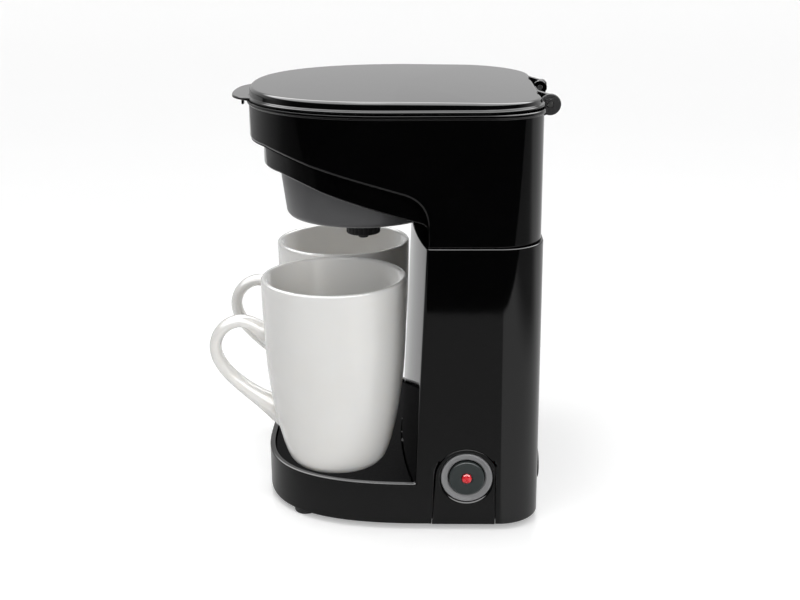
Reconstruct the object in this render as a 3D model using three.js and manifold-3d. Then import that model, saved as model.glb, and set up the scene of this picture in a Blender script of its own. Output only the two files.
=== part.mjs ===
// Two-cup drip coffee maker: a hooded brewing head on a column, over a low cup tray with two mugs.
// Millimetres, +Z up. The front faces -Y and the power button is on the +X side.
import * as THREE from 'three';
import { mergeVertices } from 'three/addons/utils/BufferGeometryUtils.js';
import Module from 'manifold-3d';

const wasm = await Module();
wasm.setup();

// ---------------------------------------------------------------- driving dimensions
const GAP = 0.3;                 // clearance between two pieces that touch
const WALL = 2.5;                // moulded wall
const CENTRE_SHIFT = 10.8;       // moves the middle of the whole depth over the origin

const FLOOR_Z = 3;               // lower edge of the base, on its feet
const TRAY_Z = 25;               // surface that the mugs stand on
const RIM_Z = 27.1;              // rim round the cup tray
const SPLIT_Z = 159.5;           // joint between the lower and the upper housing
const HOOD_TOP_Z = 227;          // top of the upper housing's wall
const LID_SKIRT_Z = 229;
const LID_TOP_Z = 235;

const BASE = { half: 82.5, waist: 27, front: -78.8, back: 76.5, corner: 22.5, power: 3 };
const HOOD = { half: 82, waist: 0, front: -84, back: 75.5, corner: 25, power: 2.3 };
const CHAMBER = { half: 77.5, waist: 0, front: -76.6, back: 31, corner: 1.5, power: 2.3 };
const LID = { half: 84, waist: 0, front: -85, back: 76.7, corner: 34, power: 2.3 };
const CROWN = { half: 82.8, waist: 0, front: -83.7, back: 75.2, corner: 36, power: 2.3 };

const COLUMN = { edgeFoot: 8.6, edgeTop: 15.1, bulge: 9 };
const BASKET = { y: -22, z: 160.4, foot: 43.7, mouth: 47.2, flange: 50.2, top: 208 };
const BASKET_WALL = 2;
const NOZZLE = { r: 9.8, z: 148, tip: 145.2 };
const MUG = { x: 40.8, y: -36.5, foot: TRAY_Z + GAP, rim: 133.8, wall: 3 };
const HINGE = {
  y: 80.3, z: 227.2, lug: 4.6, cap: 5.7, pin: 1.5, barrel: 4.2, start: 27, inner: 34, outer: 40,
};
const BUTTON = { y: 36.4, z: 30.7, hole: 14.3, ring: 14, cap: 9.6, lens: 2.8 };
const PANEL = { arch: 16.9, rear: 15.6, frontFoot: 19 };   // its edges, from the button's middle
const GLAND = { x: 45, z: 23.6, flange: 8.8 };
const BUMPER = { x: 0, z: 114, r: 2 };
const RISER = { x: 0, y: 38.5, r: 4, top: 222 };
const HEATER = { leg: 30, tube: 6, front: -18, rear: 22, low: 8, high: 18.5 };

const FEET = { fl: [-59, -54], fr: [59, -54], rl: [-68, 62], rr: [68, 62] };
const BASE_SCREWS = { fl: [-48, -44], fr: [48, -44], rl: [-74, 8], rr: [74, 8] };
const FOOT_R = 6.5;

// ---------------------------------------------------------------- materials
const paint = (color, roughness, metalness = 0) =>
  new THREE.MeshStandardMaterial({ color, roughness, metalness });
const gloss = paint(0x0b0b0c, 0.12);
const satin = paint(0x2c2c2e, 0.4);
const matt = paint(0x131314, 0.75);
const grey = paint(0x5f6062, 0.35);
const red = paint(0xb3141a, 0.2);
const rubber = paint(0x101010, 0.85);
const white = paint(0xe6e5e1, 0.15);
const clear = paint(0x9fa6ab, 0.3);
const steel = paint(0xa9abad, 0.35, 1);
const aluminium = paint(0xb8babc, 0.5, 1);
const silicone = paint(0xd9d7d2, 0.5);
const nylon = paint(0xb98a3a, 0.6);

// ---------------------------------------------------------------- solids
// A closed geometry becomes a solid: shared vertices merged, faces turned outward.
function solid(source) {
  const bare = source.index ? source.clone() : source;
  bare.deleteAttribute('normal');
  bare.deleteAttribute('uv');
  const merged = mergeVertices(bare, 1e-4);
  const at = merged.attributes.position;
  const index = merged.index.array;
  const corner = [new THREE.Vector3(), new THREE.Vector3(), new THREE.Vector3()];
  const faces = [];
  let volume = 0;
  for (let i = 0; i < index.length; i += 3) {
    const [a, b, c] = [index[i], index[i + 1], index[i + 2]];
    if (a === b || b === c || a === c) continue;
    faces.push([a, b, c]);
    corner.forEach((v, k) => v.fromBufferAttribute(at, faces.at(-1)[k]));
    volume += corner[0].dot(corner[1].clone().cross(corner[2]));
  }
  const outward = volume > 0 ? faces : faces.map(([a, b, c]) => [a, c, b]);
  return new wasm.Manifold(new wasm.Mesh({
    numProp: 3,
    vertProperties: new Float32Array(at.array),
    triVerts: new Uint32Array(outward.flat()),
  }));
}

function geometryOf(body) {
  const mesh = body.getMesh();
  const geometry = new THREE.BufferGeometry();
  geometry.setAttribute('position', new THREE.BufferAttribute(mesh.vertProperties, 3));
  geometry.setIndex(new THREE.BufferAttribute(mesh.triVerts, 1));
  geometry.computeVertexNormals();
  return geometry;
}

const join = (first, ...more) => more.reduce((whole, piece) => whole.add(piece), first);
const cut = (first, ...tools) => tools.reduce((whole, tool) => whole.subtract(tool), first);

// A plan shape raised from z0 to z1; lean tips it back by that much for each mm of height.
function raise(shape, z0, z1, { segments = 6, lean = 0, leanFrom = 0 } = {}) {
  const geometry = new THREE.ExtrudeGeometry(
    shape, { depth: z1 - z0, bevelEnabled: false, curveSegments: segments });
  geometry.translate(0, 0, z0);
  const at = geometry.attributes.position;
  for (let i = 0; i < at.count; i++) at.setY(i, at.getY(i) + lean * (at.getZ(i) - leanFrom));
  return solid(geometry);
}

// A side-view shape of (y, z) points, drawn out along X from x0 to x1.
function across(shape, x0, x1, segments = 8) {
  const geometry = new THREE.ExtrudeGeometry(
    shape, { depth: x1 - x0, bevelEnabled: false, curveSegments: segments });
  geometry.translate(0, 0, x0);
  const [x, y, z] = [new THREE.Vector3(1, 0, 0), new THREE.Vector3(0, 1, 0), new THREE.Vector3(0, 0, 1)];
  geometry.applyMatrix4(new THREE.Matrix4().makeBasis(y, z, x));
  return solid(geometry);
}

// A profile of [radius, height] points turned about the Z axis at (x, y).
function turn(profile, { x = 0, y = 0, segments = 28 } = {}) {
  const points = profile.map(([r, z]) => new THREE.Vector2(r, z));
  const geometry = new THREE.LatheGeometry(points, segments);
  geometry.rotateX(Math.PI / 2);
  geometry.translate(x, y, 0);
  return solid(geometry);
}

// The same, turned about an X axis at (y, z): the profile's heights run along +X.
function turnAlongX(profile, y, z, segments = 24) {
  const points = profile.map(([r, x]) => new THREE.Vector2(r, x));
  const geometry = new THREE.LatheGeometry(points, segments);
  geometry.rotateZ(-Math.PI / 2);
  geometry.translate(0, y, z);
  return solid(geometry);
}

// The same, turned about a Y axis at (x, z): the profile's heights run along +Y.
function turnAlongY(profile, x, z, segments = 16) {
  const points = profile.map(([r, y]) => new THREE.Vector2(r, y));
  const geometry = new THREE.LatheGeometry(points, segments);
  geometry.translate(x, 0, z);
  return solid(geometry);
}

const disc = (r, low, high) => [[0, low], [r, low], [r, high], [0, high]];
const ring = (inner, outer, low, high) => [
  [inner, low], [outer, low], [outer, high], [inner, high], [inner, low]];

// A section drawn along a smooth curve through the points.
function sweep(section, points, steps, segments = 5) {
  const path = new THREE.CatmullRomCurve3(points.map((p) => new THREE.Vector3(...p)));
  return solid(new THREE.ExtrudeGeometry(
    section, { extrudePath: path, steps, bevelEnabled: false, curveSegments: segments }));
}

function roundSection(r, rAcross = r) {
  const shape = new THREE.Shape();
  shape.absellipse(0, 0, r, rAcross, 0, 2 * Math.PI);
  return shape;
}

function box(x0, x1, y0, y1, z0, z1) {
  const geometry = new THREE.BoxGeometry(x1 - x0, y1 - y0, z1 - z0);
  geometry.translate((x0 + x1) / 2, (y0 + y1) / 2, (z0 + z1) / 2);
  return solid(geometry);
}

const polygon = (points) => new THREE.Shape(points.map(([a, b]) => new THREE.Vector2(a, b)));

// ---------------------------------------------------------------- outlines
// Plan outline shared by the housings and the lid: a full superellipse at the front, straight
// sides and two round corners at the back.
function planOutline(plan, inset = 0, steps = 22) {
  const half = plan.half - inset;
  const front = plan.front + inset;
  const back = plan.back - inset;
  const corner = Math.max(plan.corner - inset, 0.5);
  const shape = new THREE.Shape();
  for (let i = 0; i <= steps; i++) {
    const angle = Math.PI * i / steps;
    const x = Math.sign(Math.cos(angle)) * Math.abs(Math.cos(angle)) ** (2 / plan.power);
    const y = Math.sin(angle) ** (2 / plan.power);
    const place = [half * x, plan.waist - (plan.waist - front) * y];
    if (i === 0) shape.moveTo(...place);
    else shape.lineTo(...place);
  }
  shape.lineTo(-half, back - corner);
  shape.absarc(-half + corner, back - corner, corner, Math.PI, Math.PI / 2, true);
  shape.lineTo(half - corner, back);
  shape.absarc(half - corner, back - corner, corner, Math.PI / 2, 0, true);
  shape.closePath();
  return shape;
}

// Everything in front of the column: its rear edge bows forward in the middle.
function bayOutline(rear, halfWidth = 100, ahead = -130) {
  const shape = new THREE.Shape();
  shape.moveTo(-halfWidth, ahead);
  shape.lineTo(halfWidth, ahead);
  shape.lineTo(halfWidth, rear);
  const bow = (x) => rear - COLUMN.bulge * (1 - (x / BASE.half) ** 2);
  for (let i = 0; i <= 12; i++) {
    const x = BASE.half * (1 - i / 6);
    shape.lineTo(x, bow(x));
  }
  shape.lineTo(-halfWidth, rear);
  shape.closePath();
  return shape;
}

const bayLean = (COLUMN.edgeTop - COLUMN.edgeFoot) / (SPLIT_Z - RIM_Z);
const bay = (z0, z1, back = 0) =>
  raise(bayOutline(COLUMN.edgeFoot + back), z0, z1, { lean: bayLean, leanFrom: RIM_Z });

// ---------------------------------------------------------------- base and column
// Side view of the button panel: an arch with an upright rear leg and a splayed front leg.
function keyhole(grow, low) {
  const radius = PANEL.arch + grow;
  const rear = PANEL.rear + grow;
  const start = Math.acos(rear / radius);
  const shape = new THREE.Shape();
  shape.moveTo(BUTTON.y - PANEL.frontFoot - grow, low);
  shape.lineTo(BUTTON.y + rear, low);
  shape.absarc(BUTTON.y, BUTTON.z, radius, start, Math.PI, false);
  shape.closePath();
  return shape;
}

function lowerHousing() {
  const deckUnder = TRAY_Z - 4;
  const recess = TRAY_Z - 1.8;
  const shell = cut(
    raise(planOutline(BASE), FLOOR_Z, SPLIT_Z),
    bay(RIM_Z, SPLIT_Z + 10),
    raise(planOutline(BASE, 3), recess, RIM_Z + 1).intersect(bay(recess - 1, RIM_Z + 2)),
    raise(planOutline(BASE, WALL), FLOOR_Z - 1, deckUnder),
    raise(planOutline(BASE, WALL), deckUnder - 1, SPLIT_Z - WALL)
      .subtract(bay(deckUnder - 2, SPLIT_Z, WALL)),
    raise(planOutline(BASE, WALL), SPLIT_Z - WALL - 1, SPLIT_Z + 1)
      .subtract(box(-100, 100, -130, 20, SPLIT_Z - 10, SPLIT_Z + 5)),
    across(keyhole(GAP, FLOOR_Z - 1), BASE.half - 5, BASE.half + 5),
    turnAlongY(disc(3.6, BASE.back - 6, BASE.back + 5), GLAND.x, GLAND.z, 16),
    turnAlongY(disc(1.4, BASE.back - 6, BASE.back + 5), BUMPER.x, BUMPER.z, 12),
  );
  const bosses = Object.values(BASE_SCREWS).map(([x, y]) =>
    turn(ring(1.7, 4.5, FLOOR_Z + 3, deckUnder + 1), { x, y, segments: 12 }));
  return join(shell, ...bosses);
}

function cupTray() {
  return raise(planOutline(BASE, 3 + GAP), TRAY_Z - 1.5, TRAY_Z)
    .intersect(bay(TRAY_Z - 3, TRAY_Z + 2, -GAP));
}

function basePlate() {
  const holes = Object.values(BASE_SCREWS).map(([x, y]) =>
    turn(disc(1.7, 0, 10), { x, y, segments: 12 }));
  const keyRoom = box(BASE.half - 6, BASE.half, BUTTON.y - 21, BUTTON.y + 19, 0, 8);
  const vents = [-30, -18, -6, 6, 18, 30].map((x) => box(x - 1.5, x + 1.5, 38, 62, 0, 8));
  const sheet = raise(planOutline(BASE, WALL + GAP), FLOOR_Z + GAP, FLOOR_Z + 2.5);
  return cut(sheet, ...holes, keyRoom, ...vents);
}

const foot = ([x, y]) => turn(
  [[0, 0], [FOOT_R - 1, 0], [FOOT_R, 1], [FOOT_R, FLOOR_Z], [0, FLOOR_Z]], { x, y, segments: 20 });

function screw([x, y]) {
  const head = FLOOR_Z - 1.6;
  return turn([[0, head], [3, head], [3, FLOOR_Z], [1.3, FLOOR_Z], [1.3, 14], [0, 15]],
    { x, y, segments: 12 });
}

// ---------------------------------------------------------------- button side
function buttonPanel() {
  const face = BASE.half;
  return cut(
    across(keyhole(0, FLOOR_Z), face - WALL, face, 20),
    turnAlongX(disc(BUTTON.hole, face - 10, face + 5), BUTTON.y, BUTTON.z),
  );
}

function buttonBezel() {
  const face = BASE.half;
  const inner = BUTTON.cap + 0.4;
  return turnAlongX([
    [inner, face - 5], [BUTTON.ring, face - 5], [BUTTON.ring, face - 0.9], [BUTTON.ring - 1, face - 0.4],
    [BUTTON.ring - 2.2, face - 0.6], [inner, face - 1.6], [inner, face - 5]], BUTTON.y, BUTTON.z);
}

function powerButton() {
  const face = BASE.half + 0.8;
  const seat = BUTTON.lens + GAP;
  return turnAlongX([
    [0, face - 6], [3, face - 6], [3, face - 3], [BUTTON.cap, face - 3], [BUTTON.cap, face - 0.6],
    [BUTTON.cap - 0.6, face], [seat, face - 0.3], [seat, face - 1.6], [0, face - 1.6]], BUTTON.y, BUTTON.z);
}

function indicatorLens() {
  const face = BASE.half + 0.8;
  return turnAlongX([
    [0, face - 1.3], [BUTTON.lens, face - 1.3], [BUTTON.lens, face - 0.1], [1.6, face + 0.5],
    [0, face + 0.65]], BUTTON.y, BUTTON.z, 12);
}

// ---------------------------------------------------------------- brewing head
const swoop = (lift) => {
  const shape = new THREE.Shape();
  shape.moveTo(-130, 120);
  shape.lineTo(-130, 207 + lift);
  shape.lineTo(-72, 207 + lift);
  shape.quadraticCurveTo(-62, 205.5 + lift, -45.5, 200 + lift);
  shape.lineTo(-12, 191.1 + lift);
  shape.lineTo(4, 186.5 + lift);
  shape.quadraticCurveTo(13.5, 182.5 + lift, 15.2, 172 + lift);
  shape.lineTo(15.2, 120);
  shape.closePath();
  return shape;
};

// Hinge lugs on the hood's back: a flat-topped block each, the right one with a round cap outside.
function hingeLugs() {
  const { y, z, lug, cap, inner, outer } = HINGE;
  const side = polygon([
    [HOOD.back - 1, z - 7], [y, z - lug], [y + lug * 0.75, z - lug * 0.6], [y + lug, z],
    [y + lug, z + 2], [y + lug - 1.4, z + 3.4], [HOOD.back + 1.8, z + 3.4],
    [HOOD.back + 1.8, HOOD_TOP_Z - 1], [HOOD.back - 1, HOOD_TOP_Z - 1]]);
  return [
    across(side, -outer, -inner), across(side, inner, outer),
    turnAlongX(disc(cap, outer - 1.6, outer), y, z)];
}

function upperHousing() {
  const lip = LID_SKIRT_Z - 2 * GAP;
  const shell = cut(
    join(
      raise(planOutline(HOOD), SPLIT_Z + GAP, HOOD_TOP_Z),
      raise(planOutline(HOOD, -1), HOOD_TOP_Z - 0.7, lip),
    ),
    raise(planOutline(HOOD, WALL), SPLIT_Z - 5, lip + 5),
    across(swoop(0), -100, 100),
    box(-45, 45, HOOD.back, HOOD.back + 5, HOOD_TOP_Z - 5, lip + 3),
  );
  const bore = turnAlongX(disc(HINGE.pin + GAP, -HINGE.outer - 2, HINGE.outer + 2), HINGE.y, HINGE.z, 12);
  return cut(join(shell, ...hingeLugs()), bore);
}

const underside = (lift, reach = 0) => {
  const shape = new THREE.Shape();
  shape.moveTo(-130, 120);
  shape.lineTo(-130, 193 + lift);
  shape.lineTo(-62, 193 + lift);
  shape.quadraticCurveTo(-52, 191.5 + lift, -40, 186.4 + lift);
  shape.lineTo(13 + reach, 171.2 + lift);
  shape.lineTo(17 + reach, 168 + lift);
  shape.lineTo(17 + reach, 120);
  shape.closePath();
  return shape;
};

function brewChamber() {
  const low = SPLIT_Z + 0.6;
  const top = 222;
  const wall = 2.2;
  const body = raise(planOutline(CHAMBER), low, top).subtract(across(underside(0), -100, 100));
  const room = raise(planOutline(CHAMBER, wall), low + wall, top + 5)
    .subtract(across(underside(wall, wall), -100, 100));
  const collar = turn(disc(BASKET.mouth + 0.5 + wall, low, BASKET.top - 3), { y: BASKET.y, segments: 32 })
    .subtract(across(underside(0), -100, 100));
  const well = turn(disc(BASKET.mouth + 0.5, low - 5, top + 5), { y: BASKET.y, segments: 32 });
  return cut(join(body.subtract(room), collar), well);
}

function filterBasket() {
  const { foot: r, mouth, flange, z, top } = BASKET;
  const w = BASKET_WALL;
  const drain = 4;
  return turn([
    [drain, z], [r - 4, z], [r - 1.4, z + 1], [r, z + 3.6], [mouth - 1.2, z + 22], [mouth, top - 2.4],
    [flange, top - 2.4], [flange, top], [mouth - w, top], [mouth - 1.2 - w, z + 22], [r - w, z + 5],
    [r - w - 3, z + w], [drain, z + w], [drain, z]], { y: BASKET.y, segments: 36 });
}

function outletNozzle() {
  const { r, z, tip } = NOZZLE;
  const low = BASKET.z - GAP;
  const core = turn([
    [0, tip], [2.6, tip], [3, tip + 1], [3, z + 0.4], [r - 1.2, z], [r, z + 1], [r, low - 2], [r - 0.8, low],
    [0, low]], { y: BASKET.y, segments: 28 });
  const spouts = [-6.4, 6.4].map((x) => turn(disc(1.8, z - 1, z + 6), { x, y: BASKET.y, segments: 10 }));
  return cut(core, ...spouts);
}

function permanentFilter() {
  const floor = BASKET.z + 5;
  const top = BASKET.top - 4;
  return turn([
    [0, floor], [30, floor], [40, top], [39.2, top], [29.4, floor + 0.8], [0, floor + 0.8]],
    { y: BASKET.y, segments: 32 });
}

function filterRim() {
  const low = BASKET.top - 3.7;
  const hoop = turn(ring(39.6, 44.4, low, low + 2.4), { y: BASKET.y, segments: 32 });
  const grip = cut(
    box(-14, 14, BASKET.y - 1.2, BASKET.y + 1.2, low + 0.3, low + 2.1),
    box(-12, 12, BASKET.y - 3, BASKET.y + 3, low - 1, low + 0.2),
  );
  const bars = [-1, 1].map((side) =>
    box(Math.min(side * 13, side * 41), Math.max(side * 13, side * 41),
      BASKET.y - 1.2, BASKET.y + 1.2, low + 0.3, low + 2.1));
  return join(hoop, grip, ...bars);
}

// ---------------------------------------------------------------- lid
function lidShell() {
  const edge = 1.8;
  const flangeTop = LID_SKIRT_Z + 1.4;
  const crownLow = LID_SKIRT_Z + 0.7;
  const crown = new THREE.ExtrudeGeometry(planOutline(CROWN, edge), {
    depth: LID_TOP_Z - crownLow - edge, bevelEnabled: true, bevelThickness: edge, bevelSize: edge,
    bevelSegments: 3, curveSegments: 8,
  });
  crown.translate(0, 0, crownLow);
  const plate = cut(
    join(
      cut(solid(crown), box(-120, 120, -120, 120, LID_SKIRT_Z - 10, crownLow)),
      raise(planOutline(LID), LID_SKIRT_Z, flangeTop, { segments: 8 }),
    ),
    raise(planOutline(CROWN, 2.2), LID_SKIRT_Z - 5, LID_TOP_Z - 2.6, { segments: 8 }),
  );
  const tab = new THREE.Shape();
  tab.moveTo(-35, LID.front + 8);
  tab.quadraticCurveTo(-29, LID.front - 4, -17, LID.front - 7);
  tab.quadraticCurveTo(0, LID.front - 10, 17, LID.front - 7);
  tab.quadraticCurveTo(29, LID.front - 4, 35, LID.front + 8);
  tab.closePath();
  const tabRoom = raise(planOutline(CROWN, 2.2), LID_SKIRT_Z - 5, LID_SKIRT_Z + 5);
  const barrels = [-1, 1].flatMap((side) => {
    const x0 = side > 0 ? HINGE.start : -HINGE.inner + GAP;
    const x1 = x0 + HINGE.inner - GAP - HINGE.start;
    const arm = polygon([
      [CROWN.back - 2, LID_SKIRT_Z + 0.5], [HINGE.y, HINGE.z - 1], [HINGE.y + 1, HINGE.z + 4],
      [CROWN.back - 2, LID_TOP_Z - 1.5]]);
    return [turnAlongX(disc(HINGE.barrel, x0, x1), HINGE.y, HINGE.z, 16), across(arm, x0, x1)];
  });
  const peg = box(12, 16, -87.2, -86, LID_SKIRT_Z - 4.4, LID_SKIRT_Z + 0.6);
  const bore = turnAlongX(disc(HINGE.pin + GAP, -60, 60), HINGE.y, HINGE.z, 12);
  const thumb = raise(tab, LID_SKIRT_Z - 0.2, flangeTop).subtract(tabRoom);
  const notches = [-HINGE.outer - 0.5, HINGE.inner - 0.5].map((x) => box(
    x, x + HINGE.outer - HINGE.inner + 1, LID.back - 2.3, LID.back + 1, LID_SKIRT_Z - 1, flangeTop + 0.1));
  return cut(join(cut(plate, ...notches), thumb, peg, ...barrels), bore);
}

function hingePin(side) {
  const reach = 0.5;
  const x0 = side > 0 ? HINGE.start - reach : -HINGE.outer - reach;
  const x1 = x0 + HINGE.outer - HINGE.start + 2 * reach;
  return turnAlongX(disc(HINGE.pin, x0, x1), HINGE.y, HINGE.z, 12);
}

// Trough on the underside of the lid: it takes the water from the riser to the filter.
function waterGuide() {
  const roof = LID_TOP_Z - 2.6 - GAP;
  const low = roof - 6;
  const outer = new THREE.Shape();
  outer.absarc(0, BASKET.y, 16, 0, Math.PI, true);
  outer.lineTo(-9, BASKET.y + 15);
  outer.lineTo(-9, RISER.y);
  outer.absarc(0, RISER.y, 9, Math.PI, 0, true);
  outer.lineTo(9, BASKET.y + 15);
  outer.closePath();
  const inner = new THREE.Shape();
  inner.absarc(0, BASKET.y, 14.4, 0, Math.PI, true);
  inner.lineTo(-7.4, BASKET.y + 13);
  inner.lineTo(-7.4, RISER.y);
  inner.absarc(0, RISER.y, 7.4, Math.PI, 0, true);
  inner.lineTo(7.4, BASKET.y + 13);
  inner.closePath();
  return cut(
    raise(outer, low, roof),
    raise(inner, low + 1.6, roof + 5),
    turn(disc(5.2, low - 5, roof), { y: RISER.y, segments: 16 }),
    turn(disc(9, low - 5, roof), { y: BASKET.y, segments: 20 }),
  );
}

function sprayHead() {
  const high = LID_TOP_Z - 2.6 - GAP - 6 - GAP;
  const holes = [0, 60, 120, 180, 240, 300].map((degrees) => {
    const a = THREE.MathUtils.degToRad(degrees);
    const place = { x: 7 * Math.cos(a), y: BASKET.y + 7 * Math.sin(a), segments: 6 };
    return turn(disc(1.2, high - 20, high), place);
  });
  const cup = turn([
    [0, high - 8], [11, high - 8], [14, high - 5], [14, high], [12.4, high], [12.4, high - 4.6],
    [10.4, high - 6.5], [0, high - 6.5]], { y: BASKET.y, segments: 24 });
  return cut(cup, ...holes);
}

// ---------------------------------------------------------------- water and heat
function waterTank() {
  const plan = { half: 76, waist: 40, front: 33, back: 71.5, corner: 22, power: 12 };
  const low = SPLIT_Z + 5;
  const well = (r) => turn(disc(r, low - 5, 260), { x: RISER.x, y: RISER.y - 1.5, segments: 20 })
    .add(box(-r, r, 20, RISER.y, low - 5, 260));
  const outlet = turn(disc(5, low - 8, low + 1), { x: -45, y: 52, segments: 16 });
  const bore = turn(disc(3, low - 12, low + 8), { x: -45, y: 52, segments: 12 });
  return cut(
    join(raise(planOutline(plan), low, 221).subtract(well(6)), outlet),
    raise(planOutline(plan, 2), low + 2, 260).subtract(well(8)),
    bore,
  );
}

function heaterBlock() {
  const shape = new THREE.Shape();
  const [out, inn] = [HEATER.leg + HEATER.tube, HEATER.leg - HEATER.tube];
  shape.moveTo(out, HEATER.rear);
  shape.lineTo(out, HEATER.front);
  shape.absarc(0, HEATER.front, out, 0, Math.PI, true);
  shape.lineTo(-out, HEATER.rear);
  shape.lineTo(-inn, HEATER.rear);
  shape.lineTo(-inn, HEATER.front);
  shape.absarc(0, HEATER.front, inn, Math.PI, 0, false);
  shape.lineTo(inn, HEATER.rear);
  shape.closePath();
  return raise(shape, HEATER.low, HEATER.high);
}

function heaterClamp(y) {
  const top = HEATER.high + GAP;
  const reach = HEATER.leg + HEATER.tube;
  const strap = box(-reach - 8, reach + 8, y - 5, y + 5, top, top + 1.2);
  const ends = [-1, 1].map((side) => {
    const x = side * (reach + 7.4);
    return box(x - 0.6, x + 0.6, y - 5, y + 5, HEATER.low, top + 0.6);
  });
  return join(strap, ...ends);
}

const tubeR = 4.2;
const riserTube = () => sweep(roundSection(RISER.r), [
  [HEATER.leg, HEATER.rear + 1, 13], [HEATER.leg - 2, HEATER.rear + 10, 14], [14, 38, 22], [2, RISER.y, 42],
  [RISER.x, RISER.y - 1.5, 80], [RISER.x, RISER.y - 1.5, 150], [RISER.x, RISER.y - 1.5, RISER.top]], 28);
const inletHose = () => sweep(roundSection(tubeR), [
  [-HEATER.leg, HEATER.rear + 1, 13], [-HEATER.leg - 2, HEATER.rear + 12, 14], [-42, 48, 26], [-45, 52, 50],
  [-45, 52, 100], [-45, 52, 138]], 22);
const checkValve = () => turn([
  [0, 138.6], [4.2, 138.6], [6, 141], [6, 149], [4.2, 151.4], [0, 151.4]], { x: -45, y: 52, segments: 16 });

const thermostat = () => join(
  turn(disc(8.5, 8, 14), { y: -8, segments: 20 }),
  turn(disc(11, 14 - 0.2, 15), { y: -8, segments: 20 }),
  box(-4, -2.6, -10.5, -5.5, 14, 18),
  box(2.6, 4, -10.5, -5.5, 14, 18),
);
const thermalFuse = () => turnAlongX([
  [0, -16], [0.7, -16], [0.7, -7], [2.4, -6], [2.4, 6], [0.7, 7], [0.7, 16], [0, 16]], 8, 14, 12);
const terminalBlock = () => cut(
  box(46, 70, 54, 66, 9, 21),
  ...[51, 58, 65].map((x) => turn(disc(2, 12, 25), { x, y: 60, segments: 8 })),
);
const switchBody = () => join(
  box(61, 75, BUTTON.y - 9, BUTTON.y + 9, BUTTON.z - 7, BUTTON.z + 7),
  box(55, 61.5, BUTTON.y - 5.4, BUTTON.y - 4.6, BUTTON.z - 2.4, BUTTON.z + 2.4),
  box(55, 61.5, BUTTON.y + 4.6, BUTTON.y + 5.4, BUTTON.z - 2.4, BUTTON.z + 2.4),
);
const lead = (points) => sweep(roundSection(1.1), points, 10, 3);

// ---------------------------------------------------------------- rear
function cordGland() {
  const wall = BASE.back;
  return turnAlongY([
    [2.6, wall - 7], [3.3, wall - 7], [3.3, wall + GAP], [GLAND.flange, wall + GAP],
    [GLAND.flange, wall + 0.9],
    [GLAND.flange - 1.4, wall + 1.6], [2.6, wall + 1.6], [2.6, wall - 7]], GLAND.x, GLAND.z);
}

const rearBumper = () => turnAlongY([
  [0, BASE.back - 5], [1.1, BASE.back - 5], [1.1, BASE.back + GAP], [BUMPER.r, BASE.back + GAP],
  [BUMPER.r, BASE.back + 1], [1.2, BASE.back + 1.6], [0, BASE.back + 1.6]], BUMPER.x, BUMPER.z, 16);

// ---------------------------------------------------------------- mugs
// Outer radius of the mug at a height above the tray: a narrow foot that opens into a near
// straight wall.
const MUG_PROFILE = [
  [24.6, 0], [25.4, 1], [28.3, 5], [30.9, 12.5], [33.9, 25], [37.2, 45], [39.2, 68], [40.1, 92],
  [40.3, 107.6]];

function mug(side) {
  const { x, y, foot: base, rim, wall } = MUG;
  const outer = MUG_PROFILE.map(([r, h]) => [r, base + h]);
  const inner = MUG_PROFILE.slice(2).map(([r, h]) => [r - wall, base + h]).reverse();
  const profile = [
    [0, base + 1.2], [22, base + 1.2], [23, base], ...outer, [39.6, rim], [38, rim], ...inner.slice(1),
    [22, base + 5.4], [0, base + 4.6]];
  const cup = turn(profile, { x: side * x, y, segments: 36 });
  const ear = sweep(roundSection(5.4, 3.4), [
    [side * x, -74.5, 99.5], [side * x, -82, 105], [side * x, -90, 107.4], [side * x, -98.5, 104.5],
    [side * x, -104.2, 95], [side * x, -102.6, 84.6], [side * x, -95.5, 74.6], [side * x, -84, 64.6],
    [side * x, -71, 56.2]], 20, 5);
  const room = turn([[0, base + 10], ...inner.slice().reverse(), [37.3, rim + 5], [0, rim + 5]],
    { x: side * x, y, segments: 36 });
  return join(cup, ear.subtract(room));
}

// ---------------------------------------------------------------- assembly
const machine = new THREE.Group();
machine.position.y = CENTRE_SHIFT;

function add(name, body, material) {
  const mesh = new THREE.Mesh(geometryOf(body), material);
  mesh.name = name;
  machine.add(mesh);
}

add('lower_housing', lowerHousing(), gloss);
add('cup_tray', cupTray(), matt);
add('base_plate', basePlate(), satin);
for (const [name, place] of Object.entries(FEET)) add(`foot_${name}`, foot(place), rubber);
for (const [name, place] of Object.entries(BASE_SCREWS)) add(`base_screw_${name}`, screw(place), steel);
add('button_panel', buttonPanel(), gloss);
add('button_bezel', buttonBezel(), grey);
add('power_button', powerButton(), satin);
add('indicator_lens', indicatorLens(), red);
add('upper_housing', upperHousing(), gloss);
add('brew_chamber', brewChamber(), gloss);
add('filter_basket', filterBasket(), satin);
add('outlet_nozzle', outletNozzle(), matt);
add('permanent_filter', permanentFilter(), nylon);
add('filter_rim', filterRim(), matt);
add('lid', lidShell(), gloss);
add('hinge_pin_left', hingePin(-1), steel);
add('hinge_pin_right', hingePin(1), steel);
add('water_guide', waterGuide(), matt);
add('spray_head', sprayHead(), matt);
add('water_tank', waterTank(), clear);
add('heater_block', heaterBlock(), aluminium);
add('heater_clamp_front', heaterClamp(-16), steel);
add('heater_clamp_rear', heaterClamp(12), steel);
add('riser_tube', riserTube(), silicone);
add('inlet_hose', inletHose(), silicone);
add('check_valve', checkValve(), silicone);
add('thermostat', thermostat(), steel);
add('thermal_fuse', thermalFuse(), white);
add('terminal_block', terminalBlock(), white);
add('switch_body', switchBody(), matt);
add('lead_live', lead([[47, 60, 22.5], [52, 50, 27], [54, 45, 29], [54, 42.5, 30.7]]), red);
add('cord_gland', cordGland(), rubber);
add('rear_bumper', rearBumper(), rubber);
add('mug_left', mug(-1), white);
add('mug_right', mug(1), white);

export default machine;
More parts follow.
